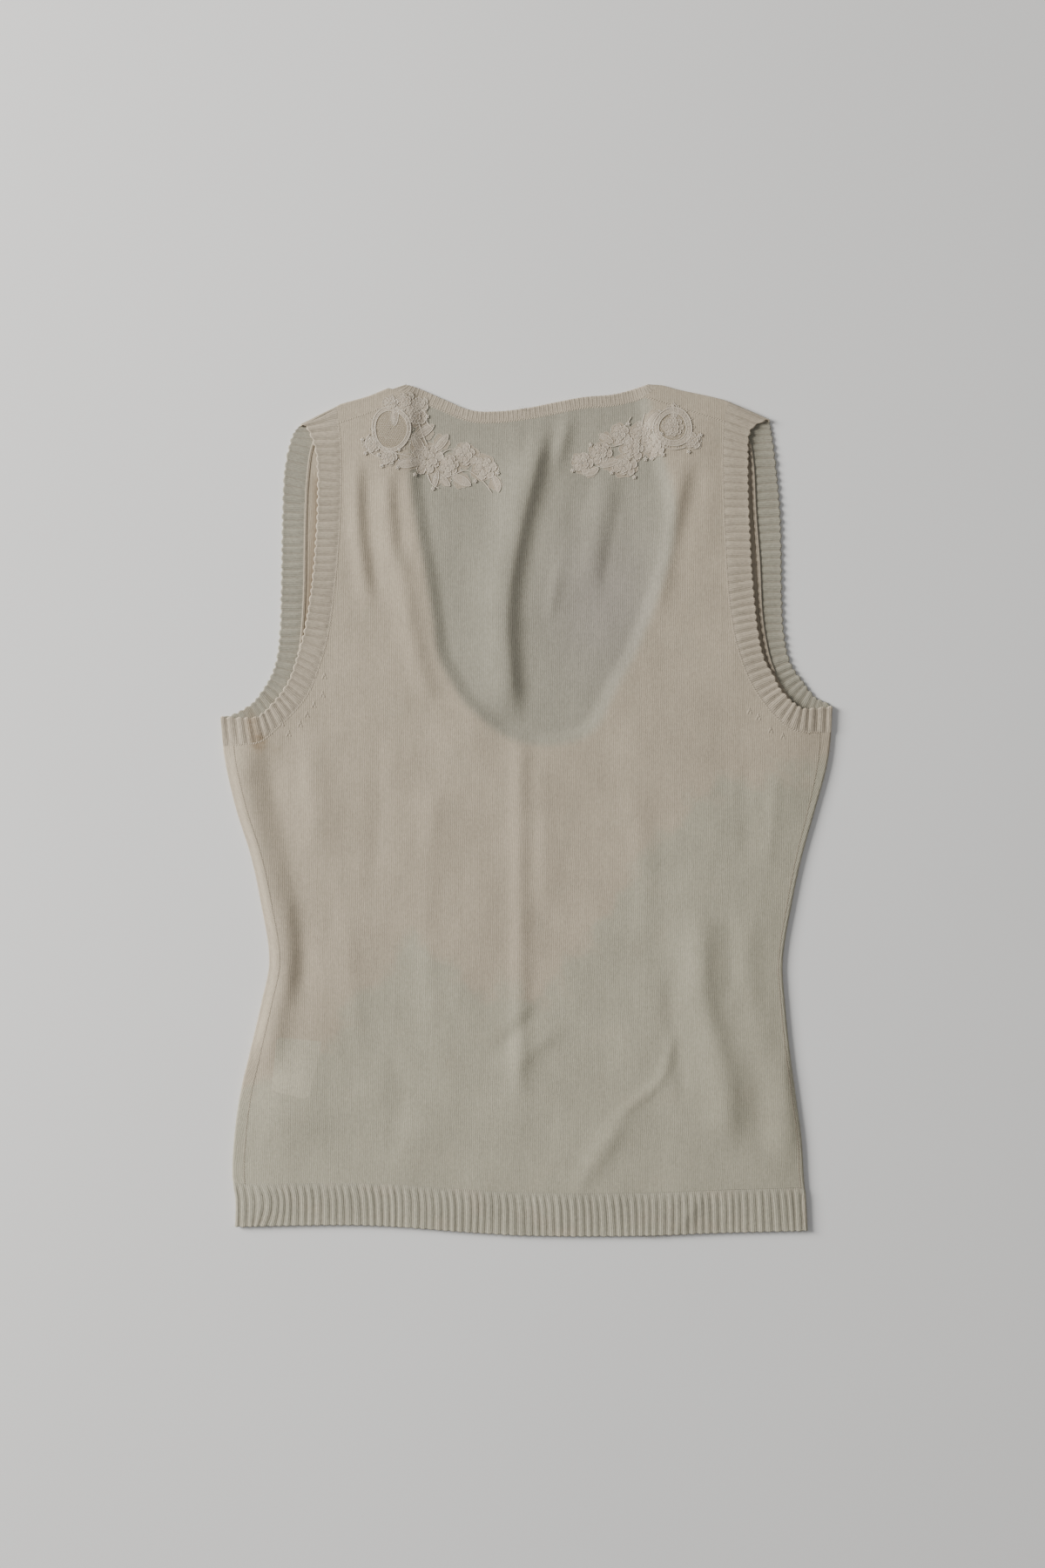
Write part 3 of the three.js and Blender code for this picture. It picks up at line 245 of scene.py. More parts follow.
def colour_setting(name, description, default):
    """A colour that can be set."""
    return FloatVectorProperty(
        name=name, description=description, default=default, subtype="COLOR", size=3, min=0, max=1)


class KnitSizes(bpy.types.PropertyGroup):
    """Sizes of the knitting"""
    wale: length_setting("Wale", "Width of one column of stitches", 0.00127)
    course: length_setting("Course", "Height of one row of stitches", 0.00098)
    rib_raise: length_setting("Rib height", "Height of an armhole rib over its groove", 0.00046)
    hem_raise: length_setting("Hem rib height", "Height of a hem rib over its groove", 0.00042)
    neck_raise: length_setting("Neck rib height", "Height of a neckband rib", 0.00012)
    hem_pitch: length_setting("Hem rib", "From one hem rib to the next", 0.005)
    band_pitch: length_setting("Armhole rib", "From one armhole rib to the next", 0.0055)
    neck_pitch: length_setting("Neck rib", "From one neckband rib to the next", 0.003)
    scallop: length_setting("Scallop", "How far a rib stands out of a band's free edge", 0.0009)
    stitch: length_setting("Seam stitch", "Spacing of the stitches along the seams", 0.0017)
    fibre: length_setting("Fibre", "Length of a loose fibre at the edges", 0.0022)
    seed: IntProperty(name="Seed", description="Start of everything irregular", default=7, min=0)


class KnitColours(bpy.types.PropertyGroup):
    """Colours of the yarns and the lace"""
    warm: colour_setting("Double cloth", "Ivory yarn where two layers lie together", (0.458, 0.39, 0.293))
    cool: colour_setting(
        "Single cloth", "Ivory yarn where one layer lets the ground through", (0.347, 0.325, 0.256))
    rib: colour_setting("Rib", "Ivory yarn on the ridges of the ribs", (0.469, 0.402, 0.308))
    # Painted shade that fills the grooves between the ribs
    groove: colour_setting("Groove", "Ivory yarn between the ribs", (0.27, 0.23, 0.175))
    lace: colour_setting("Lace", "Cream cloth of the lace motifs", (0.54, 0.47, 0.372))
    cord: colour_setting("Lace cord", "Cream cord round the lace motifs", (0.64, 0.565, 0.455))
    # Made darker, this colour is also the painted shadow in the narrow gaps inside the armholes
    stain: colour_setting("Stain", "Faint brown mark under the left arm", (0.27, 0.19, 0.115))
    label: colour_setting("Care label", "Plain woven label inside", (0.72, 0.7, 0.65))
    ground: colour_setting("Ground", "Pale floor", (0.86, 0.855, 0.845))


class StageSettings(bpy.types.PropertyGroup):
    """Camera and lights"""
    height: FloatProperty(
        name="Camera height", description="Camera above the cloth", default=1.25, unit="LENGTH")
    view_length: FloatProperty(
        name="View length", description="Length of ground from the bottom to the top of the picture",
        default=1.044, unit="LENGTH")
    key: FloatProperty(name="Key light", description="Low light from the left", default=172, unit="POWER")
    fill: FloatProperty(name="Fill light", description="Wide light from above", default=4, unit="POWER")
    sky: FloatProperty(name="Room light", description="Even light of the room", default=0.22, min=0, max=5)


def sizes():
    return bpy.context.scene.knitted_top_sizes


def colours():
    return bpy.context.scene.knitted_top_colours


def ease(value):
    """Rises smoothly from 0 to 1 while the value goes from 0 to 1."""
    held = np.clip(value, 0, 1)
    return held * held * (3 - 2 * held)


def bell(value, width):
    """1 at nought, falling off smoothly to either side."""
    return np.exp(-((value / width) ** 2))


def turns(count):
    """Angles evenly spaced once round."""
    return 2 * np.pi * np.arange(count) / count


def unit(vectors):
    return vectors / np.maximum(np.linalg.norm(vectors, axis=-1, keepdims=True), 1e-9)


def between(table, column, place):
    """Smooth value of a table's column where its first column has the given places."""
    key, value = table[:, 0], table[:, column]
    low = np.maximum(np.arange(len(key)) - 1, 0)
    high = np.minimum(np.arange(len(key)) + 1, len(key) - 1)
    slope = (value[high] - value[low]) / (key[high] - key[low])
    i = np.clip(np.searchsorted(key, place, side="right") - 1, 0, len(key) - 2)
    span = key[i + 1] - key[i]
    t = np.clip((place - key[i]) / span, 0, 1)
    rise = t * t * (3 - 2 * t)
    bend = slope[i] * t * (1 - t) ** 2 - slope[i + 1] * t * t * (1 - t)
    return value[i] * (1 - rise) + value[i + 1] * rise + bend * span


def smooth_line(points, steps):
    """Points of a smooth line through the given ones, with some steps in each span."""
    points = np.asarray(points, float)
    before = points[np.maximum(np.arange(len(points)) - 1, 0)]
    after = points[np.minimum(np.arange(len(points)) + 1, len(points) - 1)]
    lean = (after - before) / 2
    t = (np.arange(steps) / steps)[None, :, None]
    a, b, u, v = points[:-1, None], points[1:, None], lean[:-1, None], lean[1:, None]
    spans = (2 * a - 2 * b + u + v) * t**3 + (-3 * a + 3 * b - 2 * u - v) * t**2 + u * t + a
    return np.vstack([spans.reshape(-1, points.shape[1]), points[-1:]])


def stations(table, start, end, steps):
    """Seam points, the band's own points beside them and free edge points, from one named row to another."""
    seam, edge = smooth_line(table["rows"][:, :2], steps), smooth_line(table["rows"][:, 2:], steps)
    k = np.arange(len(seam))
    along = seam[np.minimum(k + 1, len(seam) - 1)] - seam[np.maximum(k - 1, 0)]
    reach = edge - seam
    side = np.sign(along[:, 0] * reach[:, 1] - along[:, 1] * reach[:, 0])
    across = unit(np.stack([-along[:, 1], along[:, 0]], 1))
    held = seam + across * (side * SEAM_GAP)[:, None]
    cut = slice(steps * table["marks"][start], steps * table["marks"][end] + 1)
    return {"seam": seam[cut], "held": held[cut], "edge": edge[cut]}


def seam_of(table, start, end, steps):
    """Seam points of a band from one named row to another."""
    return stations(table, start, end, steps)["seam"]


def offset_from(line, points):
    """Distance to a line, whether a point is east of it, and the line's length before and after."""
    step = np.diff(line, axis=0)
    length = np.hypot(step[:, 0], step[:, 1])
    share = np.clip(((points[:, None] - line[:-1]) * step).sum(-1) / length**2, 0, 1)
    away = points[:, None] - (line[:-1] + step * share[..., None])
    distance = np.hypot(away[..., 0], away[..., 1])
    k, pick = distance.argmin(1), np.arange(len(points))
    walked = np.concatenate([[0], np.cumsum(length)])[k] + share[pick, k] * length[k]
    return distance[pick, k], away[pick, k, 0] > 0, walked, length.sum() - walked


def inside(outline, points):
    """Whether points lie within a closed outline."""
    x, y = points[:, :1], points[:, 1:]
    a, b = outline, np.roll(outline, -1, axis=0)
    with np.errstate(divide="ignore", invalid="ignore"):
        cross = ((a[:, 1] > y) != (b[:, 1] > y)) & (
            x < a[:, 0] + (b[:, 0] - a[:, 0]) * (y - a[:, 1]) / (b[:, 1] - a[:, 1])
        )
    return cross.sum(1) % 2 == 1


SCOOP_EDGE = smooth_line(NECK_FRONT["rows"][:, 2:], 5)
FOLD_LINES = [(height, west, east, smooth_line(path, 4)) for height, west, east, path in FOLDS + LOW_FOLDS]


def scoop_depth(points):
    """Distance inside the edge of the front's scoop, below 0 outside it."""
    distance = offset_from(SCOOP_EDGE, points)[0]
    return np.where(inside(SCOOP_EDGE, points), distance, -distance)


def ripple(points):
    """Small uneven waves of cloth that was laid down by hand."""
    x, y = points.T
    waves = [
        (0.2, 0.9, 92, 210), (0.15, 2.3, -71, 160), (0.08, 4.1, 43, -190), (0.04, 0.2, 24, 110),
        (0.02, 3.3, -13, 47),
    ]
    return sum(
        height * np.sin(2 * np.pi * (x / east + y / north) + start + 0.9 * np.sin(y / 37 + x / 53 + start))
        for height, start, east, north in waves
    )


def relief(plan):
    """Height of the back layer above its flat place, at plan points of any grid."""
    points = plan.reshape(-1, 2)
    x, y = points.T
    from_side = np.minimum(x - between(SIDES, 1, y), between(SIDES, 2, y) - x)
    from_end = np.minimum(y - between(HEM, 1, x), between(TOP_EDGE, 1, x) - y)
    at_edge = ease(from_side / LOFT_REACH) * ease(from_end / LOFT_REACH)
    sag = ease(scoop_depth(points) / SAG_REACH)
    folds = np.zeros(len(points))
    for height, west, east, line in FOLD_LINES:
        distance, is_east, before, after = offset_from(line, points)
        if height >= HIGH_FOLD:
            taper = ease(before / FOLD_FADE) * ease(after / FOLD_FADE)
        else:
            taper = ease(np.minimum(before, after) / LOW_FOLD_FADE)
        size = height * (CRISPNESS if height < MAIN_FOLD else MAIN_CRISPNESS)
        folds += size * taper * bell(distance, np.where(is_east, east, west))
    folds = folds * ease(from_side / EDGE_FADE) * ease(from_end / EDGE_FADE) + ripple(points) * at_edge
    lift = LOFT * at_edge * (1 - sag) - SCOOP_SAG * sag + folds
    return np.maximum(lift, LOWEST - LOWER_IN_SCOOP * sag).reshape(plan.shape[:-1])


def stacked(plan, height):
    return np.concatenate([plan, np.broadcast_to(height, plan.shape[:-1])[..., None]], -1)


def back_wall(plan):
    """Outer and inner points of the back layer."""
    lift = relief(plan)
    return stacked(plan, TOP + lift), stacked(plan, BACK_FLOOR + lift)


def front_wall(plan):
    """Outer and inner points of the front layer, which rests on the ground."""
    return stacked(plan, 0.0), stacked(plan, KNIT)


def turned(plan, out, degrees):
    """Outer and inner points part way round the fold that joins the layers."""
    angle = math.radians(degrees)

    def at(radius):
        moved = plan + out * (radius * math.cos(angle) - FOLD_OUTER)
        return stacked(moved, FOLD_OUTER + radius * math.sin(angle))

    return at(FOLD_OUTER), at(FOLD_INNER)


def inset(plan, out):
    return plan - out * FOLD_OUTER


def across(start, end, steps):
    """Evenly spaced points from one to another."""
    share = np.linspace(0, 1, steps + 1)[:, None]
    return start * (1 - share) + end * share


def fill(bottom, top, left, right):
    """Rows of plan points between a bottom and a top row, with their ends on given sides."""
    share = np.linspace(0, 1, len(left))[:, None, None]
    ruled = bottom[None] * (1 - share) + top[None] * share
    place = np.linspace(0, 1, len(bottom))[None, :, None]
    pull_left, pull_right = (left - ruled[:, 0])[:, None], (right - ruled[:, -1])[:, None]
    return ruled + pull_left * (1 - place) + pull_right * place


def gathered(walls):
    """Outer and inner points of several strips, one after another along the last grid direction."""
    return [np.concatenate([wall[k] for wall in walls], -2) for k in (0, 1)]


def shell(outer, inner, u, v, present=None, closed=False):
    """Corners, faces, and flat places of a closed thin wall over a grid of outer and inner points."""
    rows, columns = outer.shape[:2]
    present = np.ones((rows, columns), bool) if present is None else present
    index = np.full((rows, columns), -1)
    index[present] = np.arange(present.sum())
    verts = np.empty((2 * present.sum(), 3))
    verts[0::2], verts[1::2] = outer[present], inner[present]
    low = index if closed else index[:-1]
    high = np.roll(index, -1, axis=0) if closed else index[1:]
    cell = (low[:, :-1] >= 0) & (low[:, 1:] >= 0) & (high[:, :-1] >= 0) & (high[:, 1:] >= 0)
    padded = np.pad(cell, 1)
    if closed:
        padded[0, 1:-1], padded[-1, 1:-1] = cell[-1], cell[0]
    r, c = np.nonzero(cell)
    corner = np.array([[0, 0], [0, 1], [1, 1], [1, 0]])
    grid = np.stack([r[:, None] + corner[:, 0], c[:, None] + corner[:, 1]], -1)
    point = index[grid[..., 0] % rows, grid[..., 1]]
    faces = [2 * point, 2 * point[:, ::-1] + 1]
    places = [grid, grid[:, ::-1]]
    for side, (dr, dc) in enumerate([(-1, 0), (0, 1), (1, 0), (0, -1)]):
        bare = ~padded[r + 1 + dr, c + 1 + dc]
        a, b = point[bare, side], point[bare, (side + 1) % 4]
        faces.append(np.stack([2 * b, 2 * a, 2 * a + 1, 2 * b + 1], 1))
        ga, gb = grid[bare, side], grid[bare, (side + 1) % 4]
        places.append(np.stack([gb, ga, ga, gb], 1))
    faces, places = np.concatenate(faces), np.concatenate(places)
    flat = np.stack([u[places[..., 0], places[..., 1]], v[places[..., 0], places[..., 1]]], -1)
    corners = verts[faces]
    volume = sum(
        np.einsum("ij,ij->i", corners[:, 0], np.cross(corners[:, k], corners[:, k + 1])).sum() for k in (1, 2)
    )
    if volume < 0:
        faces, flat = faces[:, ::-1], flat[:, ::-1]
    return verts, faces, flat


def both(field):
    """A grid's values for its outer and inner points in the order of a shell's corners."""
    return np.repeat(field.reshape(-1), 2)


def stain_at(points):
    """Strength of the brown mark under the left arm."""
    x, y = points[..., 0], points[..., 1]
    spots = [
        (-178, 45, 6, 7, 1.2), (-183, 58, 5, 8, 0.85), (-190, 67, 6, 3, 0.5), (-166, 40, 3.5, 3, 0.5),
        (-172, 74, 9, 7, 0.35),
    ]
    return sum(s * np.exp(-(((x - a) / w) ** 2) - ((y - b) / h) ** 2) for a, b, w, h, s in spots)


def coolness(points):
    """How far the cloth has gone over from its warm tone to the cooler one of the lower part."""
    level = np.interp(points[..., 0], *np.array(COOL_BELOW).T)
    return ease((level - points[..., 1]) / 45 + 0.5)


def violet_at(points):
    """Strength of the faint violet cast over the scoop."""
    return np.exp(-(((points[:, 0] - 50) / 38) ** 2) - ((points[:, 1] - 140) / 50) ** 2)


def label_depth(points):
    """Distance inside the care label's outline."""
    loop = np.vstack([LABEL_CORNERS, LABEL_CORNERS[:1]])
    distance = offset_from(loop, points)[0]
    return np.where(inside(LABEL_CORNERS, points), distance, -distance)


def make_piece(name, verts, faces, finish, flat=None, fields=None, sharp=50):
    """Object with a mesh in place, its flat places in millimetres and its measured fields."""
    mesh = bpy.data.meshes.new(name)
    mesh.from_pydata((np.asarray(verts) * MM).tolist(), [], [list(map(int, face)) for face in faces])
    if flat is not None:
        layer = mesh.uv_layers.new(name="knit")
        layer.data.foreach_set("uv", np.ascontiguousarray(flat, dtype=np.float32).ravel())
    for key, values in (fields or {}).items():
        mesh.attributes.new(key, "FLOAT", "POINT").data.foreach_set("value", np.asarray(values, np.float32))
    mesh.shade_smooth()
    mesh.set_sharp_from_angle(angle=math.radians(sharp))
    mesh.materials.append(finish)
    piece = bpy.data.objects.new(name, mesh)
    bpy.context.scene.collection.objects.link(piece)
    return piece


def cloth_piece(name, wall, finish, slot, node):
    """Piece of cloth from its corners, faces, flat places and fields, put in place of its solid, which is
    hidden.
    """
    verts, faces, flat, fields = wall
    return settle(make_piece(name, verts, faces, finish, flat, fields), slot, node)


def settle(piece, slot, *nodes):
    """Hides the solids that a finished piece stands for, and hangs the piece under the root body."""
    if nodes:
        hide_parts(*nodes)
    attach(piece, "root")
    return piece


class NodeWork:
    """A node tree under way."""

    def put(self, kind, values=None, **settings):
        """Adds a node with its settings, and gives its inputs numbers or other nodes' outputs."""
        node = self.tree.nodes.new(kind)
        for key, value in settings.items():
            setattr(node, key, value)
        for key, value in (values or {}).items():
            if isinstance(value, bpy.types.NodeSocket):
                self.tree.links.new(value, node.inputs[key])
            else:
                node.inputs[key].default_value = value
        return node

    def out(self, kind, values=None, **settings):
        """Adds a node and gives its first output."""
        return self.put(kind, values, **settings).outputs[0]

    def place(self, x=0.0, y=0.0, z=0.0):
        """Three numbers as one vector."""
        return self.out("ShaderNodeCombineXYZ", {0: x, 1: y, 2: z})


class Finish(NodeWork):
    """A material under way, with short calls for its nodes."""

    def __init__(self, name, roughness, sheen=0.0, specular=0.2, coat=0.0):
        self.material = bpy.data.materials.new(name)
        self.material.use_nodes = True
        self.tree = self.material.node_tree
        self.shader = self.tree.nodes["Principled BSDF"]
        self.shader.inputs["Roughness"].default_value = roughness
        self.shader.inputs["Sheen Weight"].default_value = sheen
        self.shader.inputs["Sheen Roughness"].default_value = 0.45
        self.shader.inputs["Sheen Tint"].default_value = (1, 0.97, 0.92, 1)
        self.shader.inputs["Specular IOR Level"].default_value = specular
        self.shader.inputs["Coat Weight"].default_value = coat

    def math(self, operation, a, b=0.0, c=0.0):
        return self.out("ShaderNodeMath", {0: a, 1: b, 2: c}, operation=operation)

    def plus(self, a, b):
        return self.math("ADD", a, b)

    def times(self, a, b):
        return self.math("MULTIPLY", a, b)

    def line(self, value, slope, start):
        """Value times a slope, with a start added."""
        return self.math("MULTIPLY_ADD", value, slope, start)

    def span(self, value, low, high, to_low=0.0, to_high=1.0, smooth=True):
        """Value brought from one range to another."""
        return self.out(
            "ShaderNodeMapRange",
            {"Value": value, "From Min": low, "From Max": high, "To Min": to_low, "To Max": to_high},
            interpolation_type="SMOOTHSTEP" if smooth else "LINEAR",
        )

    def field(self, name):
        return self.put("ShaderNodeAttribute", attribute_name=name).outputs["Fac"]

    def solid(self):
        """Places in the piece itself, in metres."""
        return self.put("ShaderNodeTexCoord").outputs["Object"]

    def flat(self):
        """Places across and along the knitting, in millimetres."""
        place = self.put("ShaderNodeSeparateXYZ", {0: self.out("ShaderNodeUVMap", uv_map="knit")})
        return place.outputs[0], place.outputs[1]

    def noise(self, vector, scale, detail=2.0):
        return self.put(
            "ShaderNodeTexNoise", {"Vector": vector, "Scale": scale, "Detail": detail}, noise_dimensions="3D"
        ).outputs["Fac"]

    def mixed(self, share, a, b, blend="MIX"):
        """Two colours together."""
        node = self.put("ShaderNodeMix", {"Factor": share}, data_type="RGBA", blend_type=blend)
        for socket, value in zip([s for s in node.inputs if s.type == "RGBA"], (a, b)):
            if isinstance(value, bpy.types.NodeSocket):
                self.tree.links.new(value, socket)
            else:
                socket.default_value = (*value, 1)
        return next(s for s in node.outputs if s.type == "RGBA")

    def done(self, colour, height=None, depth=0.3, strength=1.0):
        """Connects the colour and the relief, whose depth is in millimetres."""
        self.tree.links.new(colour, self.shader.inputs["Base Color"])
        if height is not None:
            bump = self.put(
                "ShaderNodeBump", {"Height": height, "Distance": depth * MM, "Strength": strength})
            self.tree.links.new(bump.outputs[0], self.shader.inputs["Normal"])
        return self.material


def stitch_loops(made, x, y, wale, course):
    """Height of knitted loops, which slant from the middle of each column, and how much painted shade falls
    in the gap between columns.
    """
    wander = made.noise(made.place(x, y), 0.12, 1)
    column = made.math("DIVIDE", made.line(wander, 0.8 * wale, x), wale)
    between_columns = made.line(made.math("COSINE", made.times(column, 2 * math.pi)), 0.5, 0.5)
    row = made.line(made.math("PINGPONG", column, 0.5), 1.3, made.math("DIVIDE", y, course))
    loops = made.line(made.math("SINE", made.times(row, 2 * math.pi)), 0.5, 0.5)
    height = made.times(made.math("SUBTRACT", 1.0, between_columns), made.line(loops, 0.5, 0.5))
    broken = made.noise(made.place(made.times(x, 1.1), made.times(y, 0.4)), 1.0, 3)
    gap = made.times(between_columns, made.span(broken, 0.3, 0.65, 0.3, 1.4))
    return height, gap


def yarn_unevenness(made, x, y, wale):
    """Uneven yarn: columns that differ a little, and slow patches."""
    column = made.math("FLOOR", made.math("DIVIDE", x, wale))
    single = made.put("ShaderNodeTexWhiteNoise", {"W": column}, noise_dimensions="1D").outputs["Value"]
    streak = made.noise(made.place(made.times(x, 0.9), made.times(y, 0.035)), 1.0)
    patch = made.noise(made.place(x, y), 0.035, 3)
    grain = made.noise(made.place(x, made.times(y, 0.5), 9.0), 0.95, 3)
    slow = made.line(single, 0.05, made.line(streak, 0.16, made.times(patch, 0.2)))
    return made.plus(made.line(grain, 0.5, slow), 0.57)


def shaded(made, colour, amount):
    """Colour made lighter or darker by an amount round 1."""
    grey = made.out("ShaderNodeCombineColor", {0: amount, 1: amount, 2: amount})
    return made.mixed(1.0, colour, grey, "MULTIPLY")


def toned(colour, red, green=None, blue=None):
    """Colour with each of its channels multiplied, or all by the one factor."""
    factors = (red, red, red) if green is None else (red, green, blue)
    return tuple(c * k for c, k in zip(colour, factors))


def tinted_cloth(made, x, y, warm, cool):
    """Ivory that cools where one layer lies alone, with the label and the stain showing, and painted shadow
    in the narrow gaps inside the armholes.
    """
    edge = made.noise(made.place(x, y), 0.5)
    thin = made.span(made.plus(made.field("thin"), made.line(edge, 1.6, -0.8)), -2.5, 5.0)
    cloud = made.noise(made.place(x, y, 4.0), 0.017, 2)
    blotch = made.noise(made.place(x, y, 2.0), 0.05, 3)
    cooled = made.span(made.plus(made.field("low"), made.span(blotch, 0.3, 0.7, -0.3, 0.3)), 0.15, 0.85)
    low = made.mixed(cooled, tuple(warm), toned(warm, 0.915, 1.0, 1.01))
    warm_tone = shaded(made, low, made.span(cloud, 0.35, 0.65, 0.985, 1.02))
    violet = made.mixed(made.field("violet"), tuple(cool), toned(cool, 0.995, 0.966, 1.035))
    cool_tone = shaded(made, violet, made.span(cloud, 0.35, 0.65, 0.98, 1.02))
    cloth = made.mixed(thin, warm_tone, cool_tone)
    label = made.times(made.span(made.field("patch"), -0.5, 0.5), 0.9)
    cloth = made.mixed(label, cloth, toned(warm, 1.08, 1.17, 1.18))
    stain = made.times(made.span(made.field("stain"), 0.03, 1.1), made.span(edge, 0.25, 0.6, 0.42, 0.72))
    cloth = made.mixed(stain, cloth, tuple(colours().stain))
    # Painted shadow: the stain's colour, made darker, in the narrow gaps inside the armholes
    return made.mixed(made.times(made.field("slit"), 0.7), cloth, toned(colours().stain, 0.75))


def stocking_knit():
    """Fine plain knitting of the panels."""
    made = Finish("ivory plain knit", 0.92, sheen=0.25)
    u, v = made.flat()
    drift = made.noise(made.place(u, v), 0.045, 1)
    u_drift = made.line(drift, 2.4, u)
    wale, course = sizes().wale / MM, sizes().course / MM
    height, gap = stitch_loops(made, u_drift, v, wale, course)
    cloth = tinted_cloth(made, u, v, colours().warm, colours().cool)
    # Painted shade in the gaps between the columns of stitches
    tone = made.times(yarn_unevenness(made, u_drift, v, wale), made.line(gap, -0.08, 1.01))
    fuzz = made.noise(made.place(u, v), 2.4, 4)
    return made.done(shaded(made, cloth, tone), made.line(fuzz, 2.0, height), 0.11, 0.8)


def rib_knit(name, pitch, wales_in_rib, groove_shade_strength):
    """Rib, with painted shade in the groove between each two ridges, and the columns of stitches running
    along each rib.
    """
    made = Finish(name, 0.92, sheen=0.25)
    u, v = made.flat()
    wale, course = pitch / wales_in_rib, sizes().course / MM
    height, gap = stitch_loops(made, u, v, wale, course)
    off = made.math("PINGPONG", made.math("DIVIDE", u, pitch), 0.5)
    uneven = made.noise(made.place(made.times(u, 0.4), made.times(v, 0.12)), 1.0)
    # Painted shade in the groove between each two ribs, weaker near the seam
    groove = made.span(made.line(uneven, 0.1, off), 0.2, 0.09)
    base = tinted_cloth(made, u, v, colours().rib, toned(colours().cool, 1.05))
    groove_shade_share = made.times(groove, made.span(made.field("ribbed"), 0.0, 1.0, 0.0, groove_shade_strength))
    cloth = made.mixed(groove_shade_share, base, tuple(colours().groove))
    # Painted highlight: the cloth is lighter within about a millimetre of the free edge
    rim = made.times(made.span(v, 1.5, 0.5), 0.12)
    # Painted shade in the gaps between the columns of stitches
    tone = made.times(yarn_unevenness(made, u, v, wale), made.line(gap, -0.2, 1.04))
    tone = made.plus(tone, rim)
    fuzz = made.noise(made.place(u, v), 2.4, 4)
    return made.done(shaded(made, cloth, tone), made.line(fuzz, 1.5, height), 0.2, 0.8)


def lace_cloth():
    """Close mesh ground of the lace motifs, with painted shade in their hollows."""
    made = Finish("cream lace cloth", 0.6, sheen=0.15, specular=0.4)
    place = made.solid()
    cells = made.put("ShaderNodeTexVoronoi", {"Vector": place, "Scale": 1500.0}, feature="DISTANCE_TO_EDGE")
    mesh_height = made.span(cells.outputs["Distance"], 0.02, 0.22, 1.0, 0.0)
    tone = made.noise(place, 160.0, 2)
    hollow = made.span(made.field("hollow"), 0.0, 1.0)
    light = tuple(colours().lace)
    base = made.mixed(made.span(tone, 0.35, 0.65), light, toned(light, 0.93, 0.9, 0.88))
    # Painted shade in the hollows: at the flowers' middles, between petals, along leaf veins and on the net
    # within the ring
    dark = made.mixed(hollow, base, toned(light, 0.62, 0.58, 0.5))
    spotted = shaded(made, dark, made.span(mesh_height, 0.0, 1.0, 0.88, 1.06, smooth=False))
    return made.done(spotted, mesh_height, 0.12, 0.7)


def lace_cord():
    """Twisted cord with a faint lustre."""
    made = Finish("cream lace cord", 0.45, sheen=0.1, specular=0.5, coat=0.08)
    place = made.solid()
    twist = made.put(
        "ShaderNodeTexWave", {"Vector": place, "Scale": 620.0, "Distortion": 2.5, "Detail": 1.0},
        bands_direction="DIAGONAL").outputs["Fac"]
    tone = made.noise(place, 240.0, 2)
    light = tuple(colours().cord)
    base = made.mixed(made.span(tone, 0.3, 0.7), light, toned(light, 0.9))
    return made.done(shaded(made, base, made.span(twist, 0.0, 1.0, 0.9, 1.05)), twist, 0.08, 0.6)


def small_pearl():
    """Little round beads with a soft gloss."""
    made = Finish("small pearl beads", 0.42, specular=0.45, coat=0.1)
    place = made.solid()
    tone = made.noise(place, 420.0, 2)
    return made.done(made.mixed(made.span(tone, 0.35, 0.65), (0.78, 0.72, 0.63), (0.7, 0.66, 0.6)))


def seam_yarn(name="ivory seam yarn", depth_of_tone=1.03):
    """Yarn of the linked seams; a lower factor on its colour gives the darker copy that is painted shade."""
    made = Finish(name, 0.9, sheen=0.2)
    place = made.solid()
    twist = made.noise(place, 900.0, 2)
    light = tuple(min(c * depth_of_tone, 1) for c in colours().rib)
    base = made.mixed(made.span(twist, 0.3, 0.7), light, toned(light, 0.82))
    return made.done(base, twist, 0.1, 0.5)


def shaded_seam_yarn():
    """A darker copy of the seam yarn, as painted shade for the stitches that lie down in the side seams."""
    return seam_yarn("shaded seam yarn", 0.72)


def woven_label():
    """Blank woven tape."""
    made = Finish("plain woven label", 0.7, sheen=0.1)
    u, v = made.flat()
    warp = made.math("SINE", made.times(u, 9.0))
    weft = made.math("SINE", made.times(v, 9.0))
    weave = made.line(made.times(warp, weft), 0.5, 0.5)
    light = tuple(colours().label)
    return made.done(made.mixed(weave, toned(light, 0.93), light), weave, 0.05, 0.5)


def paper_ground():
    """Matt pale floor with a very faint tooth."""
    made = Finish("pale ground", 0.95, specular=0.1)
    place = made.solid()
    tooth = made.noise(place, 700.0, 3)
    cloud = made.noise(place, 2.2, 2)
    light = tuple(colours().ground)
    base = made.mixed(made.span(cloud, 0.3, 0.7), light, toned(light, 0.97))
    return made.done(base, tooth, 0.05, 0.3)


def finish_of(name, make, *values):
    """A material that is made once and shared."""
    return bpy.data.materials.get(name) or make(*values)


def plain_finish():
    return finish_of("ivory plain knit", stocking_knit)


def rib_finish(kind):
    # The last number is the strength of the painted shade in the grooves
    pitch, wales, groove_shade_strength = {
        "hem": (sizes().hem_pitch / MM, 4, 0.22), "armhole": (sizes().band_pitch / MM, 5, 0.42),
        "neck": (sizes().neck_pitch / MM, 2, 0.12),
    }[kind]
    name = f"ivory {kind} rib"
    return finish_of(name, rib_knit, name, pitch, wales, groove_shade_strength)


